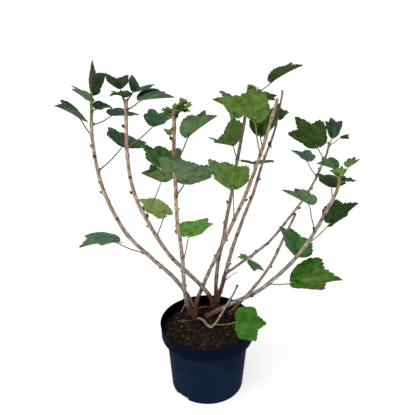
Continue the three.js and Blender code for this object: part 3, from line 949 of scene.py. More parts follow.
TOP_SHOOT = dict(
    way=[(-50.5, -107.5, 588), (-46, -107, 596), (-40, -106, 605)], radii=(2.0, 1.1), look=BARK_RED,
    cut=False, seed=70,
)
DRY_TWIG = dict(
    way=[(36, 60, 206), (44, 60, 215), (61, 60, 228)], radii=(1.4, 0.7), look=BARK_BROWN,
    cut=True, seed=50,
)
SMALL_WOOD = {"front": [DEAD_STUB, TOP_SHOOT], "back_right": [DRY_TWIG]}
print(len(TIPS), "canes end in a young shoot, and", len(SMALL_WOOD), "carry small wood")

# %% [markdown]
# Each cane is now one mesh: its main stretch, its young shoot and its small wood in one heap.
# A real shoot changes colour where the last growth started, so the stretches overlap a little
# there and need no blend.

# %% Dress the canes
SUNK_IN_STOCK = 7
CANE_SEED_STEP = 1.7


def aging(name):
    """The age of a cane's bark at a height, from 1 on old wood to 0."""
    limit = OLD_BELOW[name]
    return lambda height: float(np.clip((limit + OLD_FADE - height) / (2 * OLD_FADE), 0, 1))


def slim_radii(radii, share, slimness):
    """A cane's two radii, changed so that it thins faster past a share of its length."""
    end = radii[1] * slimness
    return (radius_at(radii, share) - end * share) / (1 - share), end


for number, (name, cane) in enumerate(CANES.items()):
    heap = Heap()
    course, radii = cane["course"], cane["radii"]
    seed = number * CANE_SEED_STEP
    joints = [(row[0], row[1]) for row in LEAVES.get(name, [])] + cane["buds"]
    knots = [(course.share_at(z) * course.length, heading(bearing, 0)) for z, bearing in joints]
    first = max(0.0, course.share_at(cane["start"]) - SUNK_IN_STOCK / course.length)
    tips = [(course.share_at(height), look) for height, look in TIPS.get(name, [])]
    last = tips[0][0] if tips else 1.0
    bark_tube(
        heap, course, radii, knots, BARKS.get(name, BARK_TAN), first, last, age=aging(name), seed=seed,
        cut=name not in LIVING_TIPS, flare=FOOT_FLARE.get(name, 0), rough=FOOT_ROUGH.get(name, 1),
    )
    ends = [share for share, _ in tips[1:]] + [1.0]
    for (share, look), end in zip(tips, ends):
        bark_tube(
            heap, course, slim_radii(radii, last, TIP_SLIMNESS[name]), knots, look,
            share - TIP_OVERLAP, end, seed=seed, cut=False, rough=TIP_ROUGH,
        )
    for bit in SMALL_WOOD.get(name, []):
        bark_tube(
            heap, Course(bit["way"]), bit["radii"], [], bit["look"], sides=SMALL_SIDES,
            cut=bit["cut"], seed=bit["seed"],
        )
    piece = heap.mesh(f"bark_{name}")
    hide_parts(f"cane_{name}")
    tell(piece)

# %% [markdown]
# Modifiers and edit tools work on whatever is selected and active. Two helpers take care of
# that, so that no step works on the wrong piece.

# %% Select and modify
def take_up(piece):
    """Makes a piece the only selected one, and the active one."""
    bpy.ops.object.select_all(action="DESELECT")
    bpy.context.view_layer.objects.active = piece
    piece.select_set(True)


def apply_modifier(piece, kind, **settings):
    """Adds a modifier with its settings and applies it."""
    take_up(piece)
    modifier = piece.modifiers.new("step", kind)
    for key, value in settings.items():
        setattr(modifier, key, value)
    bpy.ops.object.modifier_apply(modifier=modifier.name)


# %% [markdown]
# Three canes leave the ground as one stock. A boolean union would leave a sharp seam between
# them, so their tubes are run into each other and remeshed, which joins them as living wood
# does. Then noise pushes the skin about to make knobs and cracks. Each stock widens a little
# where it meets the soil.

# %% Stocks
STOCK_VOXEL = 0.55
STOCK_FLARE = {"left": 1.5, "middle": 4.5}
STOCK_LOOKS = {"left": OLD_ORANGE, "middle": OLD_RED}
STOCK_ROOT = (0, 0, -9)
STOCK_SAMPLES = 40
STOCK_OVERLAP = 1.5
STOCK_THICKER = 0.25
STOCK_ROUGH = 0.6
STOCK_SEED = 3.3
STOCK_KNOB, KNOB_SIZE = 0.9, (5.5, 5.5, 9)
STOCK_CRACK, CRACK_SIZE = 0.35, (1.5, 1.5, 4.5)


def sized_noise(place, size):
    """A noise at a place, with features of a size in each direction."""
    return noise.noise(Vector([part / width for part, width in zip(place, size)]))


for number, (name, stock) in enumerate(STOCKS.items()):
    heap = Heap()
    for key in stock["canes"]:
        course = CANES[key]["course"]
        above = course.at(np.linspace(0, 1, STOCK_SAMPLES))
        longer = Course(np.vstack([[course.at(0) + STOCK_ROOT], above]))
        bark_tube(
            heap, longer, [r + STOCK_THICKER for r in CANES[key]["radii"]], [], OLD_ORANGE, 0.0,
            longer.share_at(stock["top"] + STOCK_OVERLAP), rough=STOCK_ROUGH, cut=False,
            seed=number + STOCK_SEED, flare=STOCK_FLARE[name],
        )
    piece = heap.mesh(f"old_wood_{name}")
    apply_modifier(piece, "REMESH", mode="VOXEL", voxel_size=STOCK_VOXEL * MM)
    data = piece.data
    data.materials.clear()
    data.materials.append(STOCK_LOOKS[name])
    normals = np.array([vertex.normal for vertex in data.vertices])
    places = np.array([vertex.co for vertex in data.vertices]) / MM
    lift = [
        STOCK_KNOB * sized_noise(place, KNOB_SIZE) + STOCK_CRACK * sized_noise(place, CRACK_SIZE)
        for place in places
    ]
    data.vertices.foreach_set("co", ((places + normals * np.array(lift)[:, None]) * MM).ravel())
    data.polygons.foreach_set("use_smooth", [True] * len(data.polygons))
    data.update()
    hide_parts(f"stock_{name}")
    tell(piece)

# %% [markdown]
# One thin twig was cut back long ago. It bends down over the soil like a root, turns up again
# and ends in a dark callus knob, and it still carries a stalk with the leaf over the rim. It is
# made like a cane, and the knob is added with the buds.

# %% Pruned twig
TWIG_WAY = [
    (-25, 33, 134), (-9, 24, 134), (0, 7, 133.6), (8, 0, 134), (16, 7, 137), (34, 19, 163),
    (54, 32, 195), (61, 32, 212),
]
TWIG_RADII = (2.6, 1.9)
TWIG_KNOTS = (0.3, 0.52, 0.78)
TWIG_SIDES = 14
TWIG_ROUGH = 0.8
TWIG_SEED = 60
TWIG_DARK_FROM, TWIG_DARK_FADE = 200, 10
# Past this share of its length the twig rises, so each height is met once
TWIG_RISES_FROM = 0.35

twig_course = Course(TWIG_WAY)
twig_heap = Heap()
bark_tube(
    twig_heap, twig_course, TWIG_RADII,
    [(twig_course.length * share, heading(90 * i, 0)) for i, share in enumerate(TWIG_KNOTS)],
    BARK_GREY, sides=TWIG_SIDES, rough=TWIG_ROUGH, seed=TWIG_SEED, cut=False,
    age=lambda height: float(np.clip((height - TWIG_DARK_FROM) / TWIG_DARK_FADE, 0, 1)),
)
twig_piece = twig_heap.mesh("bark_twig_pruned")
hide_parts("twig_pruned")
tell(twig_piece)

# %% [markdown]
# A leaf could be a flat card with a cut-out picture, but a card has no thickness and its outline
# isn't in the mesh, so the blade is modelled. It is drawn in its own flat frame first, with the
# stalk at 0, the tip at 1 and a margin given by a few angles from the tip. Lobes and bays
# alternate. Some leaves are longer, broader or fuller on one side, which is their habit.

# %% The leaf's outline
# Angle from the tip, and how far the margin is from the stalk there
MARGIN = [
    (0, 1.0), (11, 0.84), (22, 0.73), (33, 0.79), (45, 0.89), (57, 0.8), (69, 0.67), (80, 0.64),
    (92, 0.59), (108, 0.42), (126, 0.29), (145, 0.2), (163, 0.11), (180, 0.04),
]
BAYS = (22, 70)
BAY_WIDTH = 10

# Habits of a blade: its lengths from the right base round to the left, against an even one
LOBES_AT = (-180, -130, -92, -45, 0, 45, 92, 130, 180)
HABITS = {
    "even": (1, 1, 1, 1, 1, 1, 1, 1, 1),
    "long": (1, 0.9, 0.85, 0.85, 1, 0.85, 0.85, 0.9, 1),
    "broad": (1, 1.1, 1.2, 1.15, 1, 1.15, 1.2, 1.1, 1),
    "fuller_left": (1, 0.8, 0.8, 0.88, 1, 1.18, 1.2, 1.1, 1),
    "fuller_right": (1, 1.1, 1.2, 1.18, 1, 0.88, 0.8, 0.8, 1),
    "blunt": (1, 1, 1, 1.05, 0.84, 1.05, 1, 1, 1),
    "wedge": (1, 0.5, 0.55, 0.98, 1, 0.98, 0.55, 0.5, 1),
}


def reach(angle, habit, bays):
    """How far the margin is from the stalk at an angle from the tip, in degrees."""
    away = np.abs(angle)
    cut = sum(np.exp(-(((away - bay) / BAY_WIDTH) ** 2)) for bay in BAYS)
    return np.interp(away, *zip(*MARGIN)) * np.interp(angle, LOBES_AT, HABITS[habit]) * (1 - bays * cut)


print("an even leaf reaches", [round(float(reach(a, "even", 0)), 2) for a in LOBES_AT])

# %% [markdown]
# The margin steps out and in to make teeth. A tooth is four points, with its steep side towards
# the leaf's tip. They could be drawn by hand, but a rule keeps them even, and the points are
# found for one half and mirrored, so that both halves agree.

# %% Teeth
# From a lobe's tip to a bay and on to the next tip: angles, and how many teeth
STRETCHES = [(0, 22, 3), (22, 45, 3), (45, 70, 3), (70, 126, 4), (126, 180, 1)]
TOOTHED_TO = 126
TOOTH = 0.032
TIP_TOOTH = 0.6
# Points of a tooth: how far along it, and how far out of the margin
TOOTH_POINTS = ((0.0, -1.0), (0.22, 0.35), (0.5, 1.0), (0.8, 0.75))

half = [(0.0, TIP_TOOTH), (180.0, 0.0)]
for low, high, teeth in STRETCHES:
    for tooth in range(teeth):
        for part, out in TOOTH_POINTS:
            angle = high - (high - low) * (tooth + part) / teeth
            if 0 < angle < 180:
                half.append((angle, out if high <= TOOTHED_TO else 0.0))
half.sort()
mirrored = [(-angle, out) for angle, out in half[-2:0:-1]]
RAYS, TOOTHED = np.array(list(zip(*half, *mirrored)))
print(len(RAYS), "points on the margin")

# %% [markdown]
# The blade isn't flat. It folds up along the midrib, curls, bulges between its veins, and
# ripples at the margin. Modifiers could bend a flat blade, but then the veins that lie on it
# would come apart from it. One function gives the height at any place, so the blade's two faces
# and its veins always agree.

# %% The leaf's surface
CREASE = 0.03
BULGE = 0.05
QUILT, QUILT_FADE = 0.008, 12
RIPPLE, RIPPLES = 0.035, 3
SIDE_VEINS = 6.5
# Each main vein's angle from the tip and its width against the midrib's
MAIN_VEINS = {0: 1.0, 45: 0.85, 92: 0.7}
VEIN_ANGLES = (*MAIN_VEINS, 180)


def surface(x, y, fold, curl, lively, phase):
    """Places of a blade in its own frame: along, across and up."""
    r = np.hypot(x, y)
    angle = np.degrees(np.arctan2(y, x))
    away = np.abs(angle)
    height = (np.sqrt(y * y + CREASE**2) - CREASE) * math.sin(math.radians(fold)) - curl * r * r
    between = np.zeros_like(r)
    offset = np.full_like(r, 180.0)
    for low, high in zip(VEIN_ANGLES, VEIN_ANGLES[1:]):
        inside = (away >= low) & (away <= high)
        share = (away - low) / (high - low)
        between = np.where(inside, 4 * share * (1 - share), between)
    for vein in MAIN_VEINS:
        offset = np.minimum(offset, np.abs(away - vein))
    height = height + BULGE * lively * between * r
    # Small pillows between the side veins, which leave a main vein at 45 degrees
    down = r * np.cos(np.radians(offset)) - r * np.sin(np.radians(offset))
    pillows = np.abs(np.sin(math.pi * SIDE_VEINS * down))
    height = height + QUILT * lively * pillows * np.minimum(1, offset / QUILT_FADE)
    height = height + RIPPLE * lively * np.sin(np.radians(RIPPLES * angle) + phase) * r**3
    return np.stack([x, y * math.cos(math.radians(fold)), height], -1)


def pose_axes(bearing, lift, roll):
    """The blade's directions: along its midrib, across it and up from it."""
    along = heading(bearing, lift)
    level = heading(bearing + 90, 0)
    turned = math.radians(roll)
    across = math.cos(turned) * level + math.sin(turned) * np.cross(along, level)
    return np.stack([along, across, np.cross(along, across)])


print("a leaf at rest lies along", pose_axes(0, 0, 0)[0].round(3))

# %% [markdown]
# Some leaves of this bush are scorched at the margin, spotted with rust or yellowed. A painted
# mask would need a picture for each leaf, so a mark is a round place where the faces take
# another plain finish. Noise makes its border uneven. One mark is painted light: a patch of the
# bright upper skin on one half of a bluish leaf, where that half catches the light.

# %% Marked places
MARK_UNEVEN, MARK_GRAIN = 0.7, 9

# Marked places on a leaf: cane, height, then along, across, radius and finish
MARKS = {
    ("far_right", 230): [
        (0.36, -0.02, 0.15, YELLOWED), (0.56, 0.05, 0.12, YELLOWED), (0.5, 0.24, 0.07, YELLOWED),
        (0.6, -0.52, 0.17, SCORCHED), (0.45, -0.58, 0.16, SCORCHED), (0.3, -0.58, 0.1, RUSTED),
    ],
    ("left", 385): [
        (0.45, 0.68, 0.14, SCORCHED), (0.35, -0.3, 0.07, RUSTED), (0.3, 0.55, 0.08, RUSTED),
        (0.7, 0.1, 0.06, RUSTED),
    ],
    ("centre", 500): [
        (0.1, -0.2, 0.06, SCORCHED), (0.25, -0.35, 0.06, RUSTED), (0.5, 0.2, 0.05, RUSTED),
    ],
    ("centre", 485): [(0.35, -0.3, 0.05, RUSTED), (0.6, 0.35, 0.08, YELLOWED)],
    ("centre", 450): [(0.05, 0.1, 0.16, RUSTED), (0.1, -0.25, 0.14, RUSTED)],
    ("far_left", 612): [(0.3, 0.22, 0.12, RUSTED), (0.2, 0.16, 0.07, SCORCHED)],
    ("far_left", 560): [(0.2, -0.3, 0.12, YELLOWED)],
    ("far_left", 300): [(0.9, 0.05, 0.06, RUSTED)],
    # Painted light: a patch of bright upper skin on the half of this leaf that catches the light
    ("far_left", 475): [(0.4, -0.6, 0.36, LEAF_SKINS["bright"][0])],
}


def marked(x, y, marks, seed, plain):
    """The finish of a face at a place of the blade, which is plain outside of all marks."""
    chosen = plain
    for mark_x, mark_y, radius, look in marks:
        uneven = 1 + MARK_UNEVEN * noise.noise(Vector((x * MARK_GRAIN, y * MARK_GRAIN, seed)))
        if math.hypot(x - mark_x, y - mark_y) < radius * uneven:
            chosen = look
    return chosen


print(sum(len(marks) for marks in MARKS.values()), "marks on", len(MARKS), "leaves")

# %% [markdown]
# A leaf's main veins fan out from the stalk into its lobes, and each one sends side veins out at
# 45 degrees. A bump could draw them, but up close they are ribs that stand out, more below than
# above, so each vein is a line with a width, which becomes a rib of its own.

# %% Veins
VEIN_WIDTH, SIDE_VEIN_WIDTH = 0.014, 0.007
VEIN_STEPS, SIDE_VEIN_STEPS = 12, 4
VEIN_TAPER, SIDE_VEIN_TAPER = 0.6, 0.5
# Veins stop at these shares of the way to the margin
VEIN_TO, SIDE_VEIN_TO = 0.97, 0.94
SIDE_VEIN_ANGLE = 45
SIDE_VEIN_SHORTEST, SIDE_VEIN_LONGEST, SIDE_VEIN_GROWTH = 0.06, 0.6, 0.02
# Side veins keep within these angles of their main vein
MIDRIB_SPREAD, LOBE_SPREAD = 23, 26


def side_vein_length(start, out, main, habit, bays):
    """How far a side vein runs before it nears the margin or leaves its lobe."""
    widest = MIDRIB_SPREAD if main == 0 else LOBE_SPREAD
    far = 0.0
    while far < SIDE_VEIN_LONGEST:
        point = start + out * far
        angle = math.degrees(math.atan2(point[1], point[0]))
        too_far = np.hypot(*point) > reach(angle, habit, bays) * SIDE_VEIN_TO
        if too_far or abs(angle - main) > widest:
            break
        far += SIDE_VEIN_GROWTH
    return far


def vein_lines(habit, bays):
    """Each vein as its flat points and its width at both ends."""
    lines = []
    for main in (0, 45, -45, 92, -92):
        turned = math.radians(main)
        direction = np.array([math.cos(turned), math.sin(turned)])
        length = reach(main, habit, bays) * VEIN_TO
        t = np.linspace(0.0, length, VEIN_STEPS + 1)[:, None]
        lines.append((direction * t, VEIN_WIDTH * MAIN_VEINS[abs(main)], SIDE_VEIN_WIDTH * VEIN_TAPER))
        for k in range(1, int(length * SIDE_VEINS) + 1):
            start = direction * (k / SIDE_VEINS)
            for branch in (1, -1):
                fork = turned + branch * math.radians(SIDE_VEIN_ANGLE)
                out = np.array([math.cos(fork), math.sin(fork)])
                far = side_vein_length(start, out, main, habit, bays)
                if far > SIDE_VEIN_SHORTEST:
                    t = np.linspace(0.0, far, SIDE_VEIN_STEPS + 1)[:, None]
                    lines.append((start + out * t, SIDE_VEIN_WIDTH, SIDE_VEIN_WIDTH * SIDE_VEIN_TAPER))
    return lines


print("an even leaf has", len(vein_lines("even", 0)), "veins")

# %% [markdown]
# The blade is a closed shell half a millimetre thick, so that it has an upper side and an
# underside with finishes of their own. A plane with a solidify modifier would do it too, but
# here the two sides and the ribs are all lifted off one surface, so they fit each other.

# %% Shell and ribs
THICKNESS = 0.45
VEIN_CREST, VEIN_KEEL, VEIN_KEEL_GROWS = 0.08, 0.1, 0.35


def blade_faces(rings, rays):
    """Faces of the upper side, the underside and the edge of a shell of rings and rays."""
    under = 1 + rings * rays
    upper = [[0, 1 + s, 1 + (s + 1) % rays] for s in range(rays)]
    upper += [[corner + 1 for corner in face] for face in skin(rings, rays)]
    lower = [[corner + under for corner in face[::-1]] for face in upper]
    rim = 1 + (rings - 1) * rays
    edge = [
        [rim + s, rim + s + under, rim + (s + 1) % rays + under, rim + (s + 1) % rays]
        for s in range(rays)
    ]
    return upper, lower, edge


def add_rib(heap, line, wide, narrow, size, lifted, looks):
    """Adds one vein to a heap, as a rib of four sides that runs through the blade."""
    forward = np.gradient(line, axis=0)
    forward /= np.linalg.norm(forward, axis=1, keepdims=True)
    across = np.stack([-forward[:, 1], forward[:, 0]], -1)
    width = np.linspace(wide, narrow, len(line))
    left = line + across * width[:, None] / 2
    right = line - across * width[:, None] / 2
    flush = np.zeros(len(line))
    crest = THICKNESS / 2 + VEIN_CREST + flush
    keel = -(THICKNESS / 2 + VEIN_KEEL + width * size * VEIN_KEEL_GROWS)
    corners = [
        lifted(*left.T, flush), lifted(*line.T, crest), lifted(*right.T, flush), lifted(*line.T, keel),
    ]
    faces = [face[::-1] for face in skin(len(line), 4)]
    faces += [[0, 1, 2, 3], [4 * len(line) - 1 - i for i in range(4)]]
    above, below = looks[2], looks[3]
    finishes = [above, above, below, below] * (len(line) - 1) + [below] * 2
    heap.put(np.stack(corners, 1).reshape(-1, 3), faces, finishes)


print("a shell of two rings and five rays has", sum(map(len, blade_faces(2, 5))), "faces")

# %% [markdown]
# A leaf is put together from these. Its seed decides how lively its surface is and how long
# each tooth is, because copies of one leaf would be seen at once on so open a bush.

# %% Build a leaf
RINGS = np.array([0.1, 0.19, 0.28, 0.37, 0.46, 0.55, 0.64, 0.72, 0.8, 0.87, 0.93, 0.97, 1.0])
FEW_RINGS = np.array([0.14, 0.3, 0.46, 0.62, 0.78, 0.91, 1.0])
SMALL_LEAF = 32
STALK_JOINT = 0.02
TEETH_FROM, TEETH_FADE = 0.9, 0.1
TOOTH_VARIES = (0.5, 1.2)
LIVELY_VARIES = (0.8, 1.25)
YOUNG_CRUMPLED = 1.3
FULL_TURN = 6.28
NUDGE = 0.004


def add_leaf(heap, base, pose, tone, outline, marks=(), seed=0):
    """Adds a blade with its veins to a heap."""
    bearing, lift, roll, size, fold, curl = pose
    dice = random.Random(seed)
    phase = dice.uniform(0, FULL_TURN)
    lively = dice.uniform(*LIVELY_VARIES) * (YOUNG_CRUMPLED if tone == "young" else 1)
    axes = pose_axes(bearing, lift, roll)

    def place(x, y):
        return surface(x, y, fold, curl, lively, phase)

    def lifted(x, y, off):
        """World places at a distance off the middle of the blade."""
        here = place(x, y)
        normal = np.cross(place(x + NUDGE, y) - here, place(x, y + NUDGE) - here)
        normal /= np.linalg.norm(normal, axis=-1, keepdims=True)
        return base + (here * size + normal * np.asarray(off)[..., None]) @ axes

    rings = RINGS if size > SMALL_LEAF else FEW_RINGS
    toothed = 1 + TOOTH * TOOTHED * np.array([dice.uniform(*TOOTH_VARIES) for _ in RAYS])
    share = np.clip((rings[:, None] - TEETH_FROM) / TEETH_FADE, 0, 1)
    distance = rings[:, None] * reach(RAYS, *outline) * (1 + (toothed - 1) * share)
    x = np.concatenate([[STALK_JOINT], (distance * np.cos(np.radians(RAYS))).ravel()])
    y = np.concatenate([[0.0], (distance * np.sin(np.radians(RAYS))).ravel()])
    half_thick = np.full(len(x), THICKNESS / 2)
    points = np.vstack([lifted(x, y, half_thick), lifted(x, y, -half_thick)])
    upper, lower, edge = blade_faces(len(rings), len(RAYS))
    looks = LEAF_SKINS[tone]
    finishes = [marked(np.mean(x[face]), np.mean(y[face]), marks, seed, looks[0]) for face in upper]
    finishes += [looks[1] if top in looks else top for top in finishes]
    finishes += [looks[1]] * len(edge)
    heap.put(points, upper + lower + edge, finishes)
    for line, wide, narrow in vein_lines(*outline):
        add_rib(heap, line, wide, narrow, size, lifted, looks)


print("a leaf over", SMALL_LEAF, "mm has", 2 * (1 + len(RINGS) * len(RAYS)), "points in its shell")

# %% [markdown]
# A stalk starts on the cane's middle line, hangs a little on its way, and runs on into the
# midrib. It is thicker where it clasps the cane. It could be a tube of one width, but the
# thickened foot is what makes it look grown and not stuck on. The round strand that it is made
# of serves again for the fibres on the soil.

# %% Build a stalk
STALK_SIDES = 8
STALK_STEPS = 12
STALK_RADIUS = 0.75
STALK_RADIUS_PER_SIZE = 1 / 160
STALK_SAG = 0.05
STALK_CLASP, CLASP_LENGTH = 0.9, 4.5
STALK_THINS = 0.35
STALK_INTO_BLADE = 0.05


def add_strand(heap, places, radii, sides, finish):
    """Adds a round strand through places to a heap, closed at both ends."""
    _, side, other = side_frames(places)
    turns = np.arange(sides) * 2 * math.pi / sides
    ring = side[:, None] * np.cos(turns)[:, None] + other[:, None] * np.sin(turns)[:, None]
    points = (places[:, None] + ring * radii[:, None, None]).reshape(-1, 3)
    last = (len(places) - 1) * sides
    faces = skin(len(places), sides)
    faces.append(list(range(sides))[::-1])
    faces.append(list(range(last, last + sides)))
    heap.put(points, faces, finish)


def stalk_radius(size):
    """How thick a stalk is for the size of its blade."""
    return STALK_RADIUS + STALK_RADIUS_PER_SIZE * size


def add_stalk(heap, root, base, pose, finish):
    """Adds a stalk to a heap, from a cane's middle line to the blade."""
    size = pose[3]
    span = np.linalg.norm(base - root)
    sunk = base + heading(pose[0], pose[1]) * STALK_INTO_BLADE * size
    middle = (root + base) / 2 - np.array([0, 0, STALK_SAG * span])
    shares = np.linspace(0, 1, STALK_STEPS + 1)
    clasp = 1 + STALK_CLASP * np.exp(-shares * span / CLASP_LENGTH)
    radii = stalk_radius(size) * clasp * (1 - STALK_THINS * shares**6)
    add_strand(heap, Course([root, middle, base, sunk]).at(shares), radii, STALK_SIDES, finish)


print("the stalk of a 60 mm leaf is", round(2 * stalk_radius(60), 2), "mm thick")

# %% [markdown]
# Tufts of small crumpled leaves unfold at the shoot tips. Placing each by hand would be slow and
# nobody could tell, so a seeded rule strews them along a short shoot, inside the model's reach.

# %% Tufts
# What is drawn for each leaf of a tuft, in this order, with its limits
TUFT_DRAWS = {
    "size": (0.6, 1), "turn": (-60, 60), "drop": (0, 3), "stalk_turn": (-25, 25),
    "stalk_rise": (-15, 15), "lift": (-5, 50), "roll": (-30, 30), "fold": (15, 45),
    "curl": (-0.1, 0.35),
}
TUFT_BAYS = 0.15


def tuft_rows(height, bearing, rise, shoot_reach, count, largest, dice):
    """Rows of a tuft's small leaves, along a short shoot."""
    rows = []
    for i in range(count):
        drawn = {key: dice.uniform(*limits) for key, limits in TUFT_DRAWS.items()}
        rows.append([
            height - drawn["drop"], bearing + drawn["stalk_turn"], rise + drawn["stalk_rise"],
            shoot_reach * (i + 1) / count, bearing + drawn["turn"], drawn["lift"], drawn["roll"],
            largest * drawn["size"], drawn["fold"], drawn["curl"], "young", "blunt", TUFT_BAYS,
        ])
    return rows


print(sum(tuft[4] for tufts in TUFTS.values() for tuft in tufts), "leaves in tufts")

# %% [markdown]
# Most stalks are grey-green, those of pale and young leaves are yellower, and a few are reddish.
# One function makes all the leaves of a cane from their rows. A seed from the cane's name keeps
# each leaf the same on every run, also when another cane changes.

# %% Leaves of one cane
YELLOW_STALKS = {("centre", 485), ("centre", 350), ("rim", 136)}
RED_STALKS = {("left", 530), ("front", 510), ("far_right", 435)}


def number_of(name):
    """A plain number for a name, the same on every run."""
    return sum(ord(letter) * (i + 1) for i, letter in enumerate(name))


def stalk_look(key, tone):
    """The finish of a leaf's stalk, from its place and its tone."""
    if key in RED_STALKS:
        return STALK_RED
    if key in YELLOW_STALKS or tone in ("young", "pale", "bright"):
        return STALK_YELLOW
    return STALK_GREEN


def dress(name, rows, root_at, cad_nodes):
    """Makes the blades and the stalks of one cane."""
    blades, stalks = Heap(), Heap()
    for i, row in enumerate(rows):
        height, bearing, rise, stalk_reach = row[:4]
        pose, tone, outline = row[4:10], row[10], row[11:]
        key = (name, height)
        root = root_at(height)
        base = root + heading(bearing, rise) * stalk_reach
        add_leaf(blades, base, pose, tone, outline, MARKS.get(key, ()), seed=number_of(name) + i)
        add_stalk(stalks, root, base, pose, stalk_look(key, tone))
    made = blades.mesh(f"blades_{name}")
    held = stalks.mesh(f"stalks_{name}")
    for piece in (made, held):
        if cad_nodes:
            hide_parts(*cad_nodes)
    print(made.name, len(rows), "leaves,", len(made.data.polygons), "faces")


print("the leaf over the rim has a stalk of", stalk_look(("rim", 136), "bright").name)

# %% [markdown]
# Each cane has one mesh of blades and one of stalks, and together they stand for the single
# leaves and the leafy top that the model has there. The small leaves and the tufts go into the
# same meshes. A piece for each leaf would make a very long list.

# %% Put on the leaves
for name, cane in CANES.items():
    rows = LEAVES.get(name, [])
    small = SMALL_LEAVES.get(name, [])
    if not rows + small:
        continue
    crown = CROWNS.get(name, math.inf)
    singles = {row[0] for row in rows if row[0] < crown}
    cad_nodes = [f"leaf_{name}_{i + 1}" for i in range(len(singles))]
    if name in CROWNS:
        cad_nodes.append(f"top_{name}")
    dice = random.Random(number_of(name))
    tufts = [row for tuft in TUFTS.get(name, []) for row in tuft_rows(*tuft, dice)]
    course = cane["course"]
    dress(
        name, rows + small + tufts,
        lambda height, course=course: course.at(course.share_at(height)), cad_nodes,
    )
dress(
    "rim", [RIM_LEAF],
    lambda height: twig_course.at(twig_course.share_at(height, TWIG_RISES_FROM)), ["leaf_rim"],
)

# %% [markdown]
# A bud is an egg with a drawn-out point. One is modelled from a sphere in edit mode, by scaling
# its rings as they rise. A particle system could set copies of it on the canes, but then each
# bud's place would be left to chance, so its mesh is copied to each place by the script.

# %% Model one bud
BUD_SEGMENTS, BUD_RINGS = 10, 8
# Each ring to be scaled: the heights it lies between on the sphere, and its scale
BUD_NARROWING = ((0.3, 0.5, 0.86), (0.6, 0.8, 0.66), (0.85, 0.95, 0.45))
# A bud leans out of the cane by this much of each direction
BUD_ALONG, BUD_OUT = 0.86, 0.5


def read_out(piece):
    """The points and faces of a piece, which is then removed."""
    points = np.array([vertex.co for vertex in piece.data.vertices])
    faces = [list(polygon.vertices) for polygon in piece.data.polygons]
    bpy.data.objects.remove(piece)
    return points, faces


bpy.ops.object.select_all(action="DESELECT")
bpy.ops.mesh.primitive_uv_sphere_add(segments=BUD_SEGMENTS, ring_count=BUD_RINGS, radius=1.0)
bud = bpy.context.object
bpy.ops.object.mode_set(mode="EDIT")
for low, high, width in BUD_NARROWING:
    bpy.ops.mesh.select_all(action="DESELECT")
    bpy.ops.object.mode_set(mode="OBJECT")
    for vertex in bud.data.vertices:
        vertex.select = low < vertex.co.z < high
    bpy.ops.object.mode_set(mode="EDIT")
    bpy.ops.transform.resize(value=(width, width, 1), center_override=(0, 0, 0))
bpy.ops.object.mode_set(mode="OBJECT")
BUD_POINTS, BUD_FACES = read_out(bud)
BUD_POINTS[:, 2] = (BUD_POINTS[:, 2] + 1) / 2


def add_bud(heap, foot, along, outward, length, radius, finish):
    """Copies the bud to a place, leaning out from the cane."""
    up = along * BUD_ALONG + outward * BUD_OUT
    up /= np.linalg.norm(up)
    side = np.cross(up, outward)
    side /= np.linalg.norm(side)
    axes = np.stack([side * radius, np.cross(up, side) * radius, up * length])
    heap.put(foot + BUD_POINTS @ axes, BUD_FACES, finish)


print("one bud has", len(BUD_FACES), "faces")

# %% [markdown]
# There is a bud in the corner above each larger leaf's stalk, one at each bare knot, and one at
# the end of each living shoot. Those that show in the picture are a little bigger and dark. The
# callus knob of the pruned twig is a short fat bud too.

# %% Put on the buds
BUD_LENGTH, BUD_RADIUS = 6.4, 2.0
BUD_SEEN_SCALE = 1.15
BUD_SCALE_VARIES = (0.6, 0.95)
BUD_DARK_CHANCE = 0.4
LEAF_BUD_ABOVE, LEAF_BUD_SCALE = 2.5, 0.85
BUD_OFF_BARK, BUD_SUNK = 0.1, 1.2
BUD_STEP_SHARE = 0.01
END_BUDS = ("right", "back_right", "far_right")
# At an end: the share it points away from, how deep it sits, its length and its radius
END_BUD = (0.99, 1, 4.6, 1.6)
KNOB = (0.97, 2, 5, 2.7)

buds = Heap()
dice = random.Random(11)
for name, cane in CANES.items():
    seen = {height for height, _ in SEEN_BUDS.get(name, [])}
    places = [(height, bearing, 1.0) for height, bearing in cane["buds"]]
    large = [row for row in LEAVES.get(name, []) if row[7] > SMALL_LEAF]
    places += [(row[0] + LEAF_BUD_ABOVE, row[1], LEAF_BUD_SCALE) for row in large]
    for height, bearing, scale in places:
        share = cane["course"].share_at(min(height, cane["top"] - 1))
        place, along, outward = frame_at(cane["course"], share, bearing, BUD_STEP_SHARE)
        scale *= BUD_SEEN_SCALE if height in seen else dice.uniform(*BUD_SCALE_VARIES)
        look = BUD_DARK if height in seen or dice.random() < BUD_DARK_CHANCE else BUD_SCALES
        foot = place + outward * (radius_at(cane["radii"], share) + BUD_OFF_BARK) - along * BUD_SUNK
        add_bud(buds, foot, along, outward, BUD_LENGTH * scale, BUD_RADIUS * scale, look)
ends = [(CANES[name]["course"], *END_BUD) for name in END_BUDS]
for course, share, sunk, length, radius in [*ends, (twig_course, *KNOB)]:
    along = end_direction(course, share)
    foot = course.at(1.0) - along * sunk
    add_bud(buds, foot, along, np.cross(along, (0, 1, 0)), length, radius, BUD_SCALES)
bud_piece = buds.mesh("buds")
tell(bud_piece)

# %% [markdown]
# Redcurrant bark peels in narrow papery strips. A bump can't lift off the bark, so each strip is
# a thin sliver that lies on the cane and rises at one end. They are scattered over the older
# part of each cane by a seeded rule.

# %% Peeling bark
FLAKES_PER_CANE = 14
FLAKE_STEPS = 5
FLAKES_FROM, FLAKES_TO = 0.02, 0.8
FLAKE_LENGTH = (6, 15)
FLAKE_WIDTH = (0.8, 1.9)
FLAKE_LIFT = (0.4, 1.6)
FLAKE_OFF_BARK = 0.1
FLAKE_THICKNESS = 0.22
FLAKE_TAPER = 0.75
FLAKE_AGE = (0, 0.7)
FLAKE_STEP_SHARE = 0.004
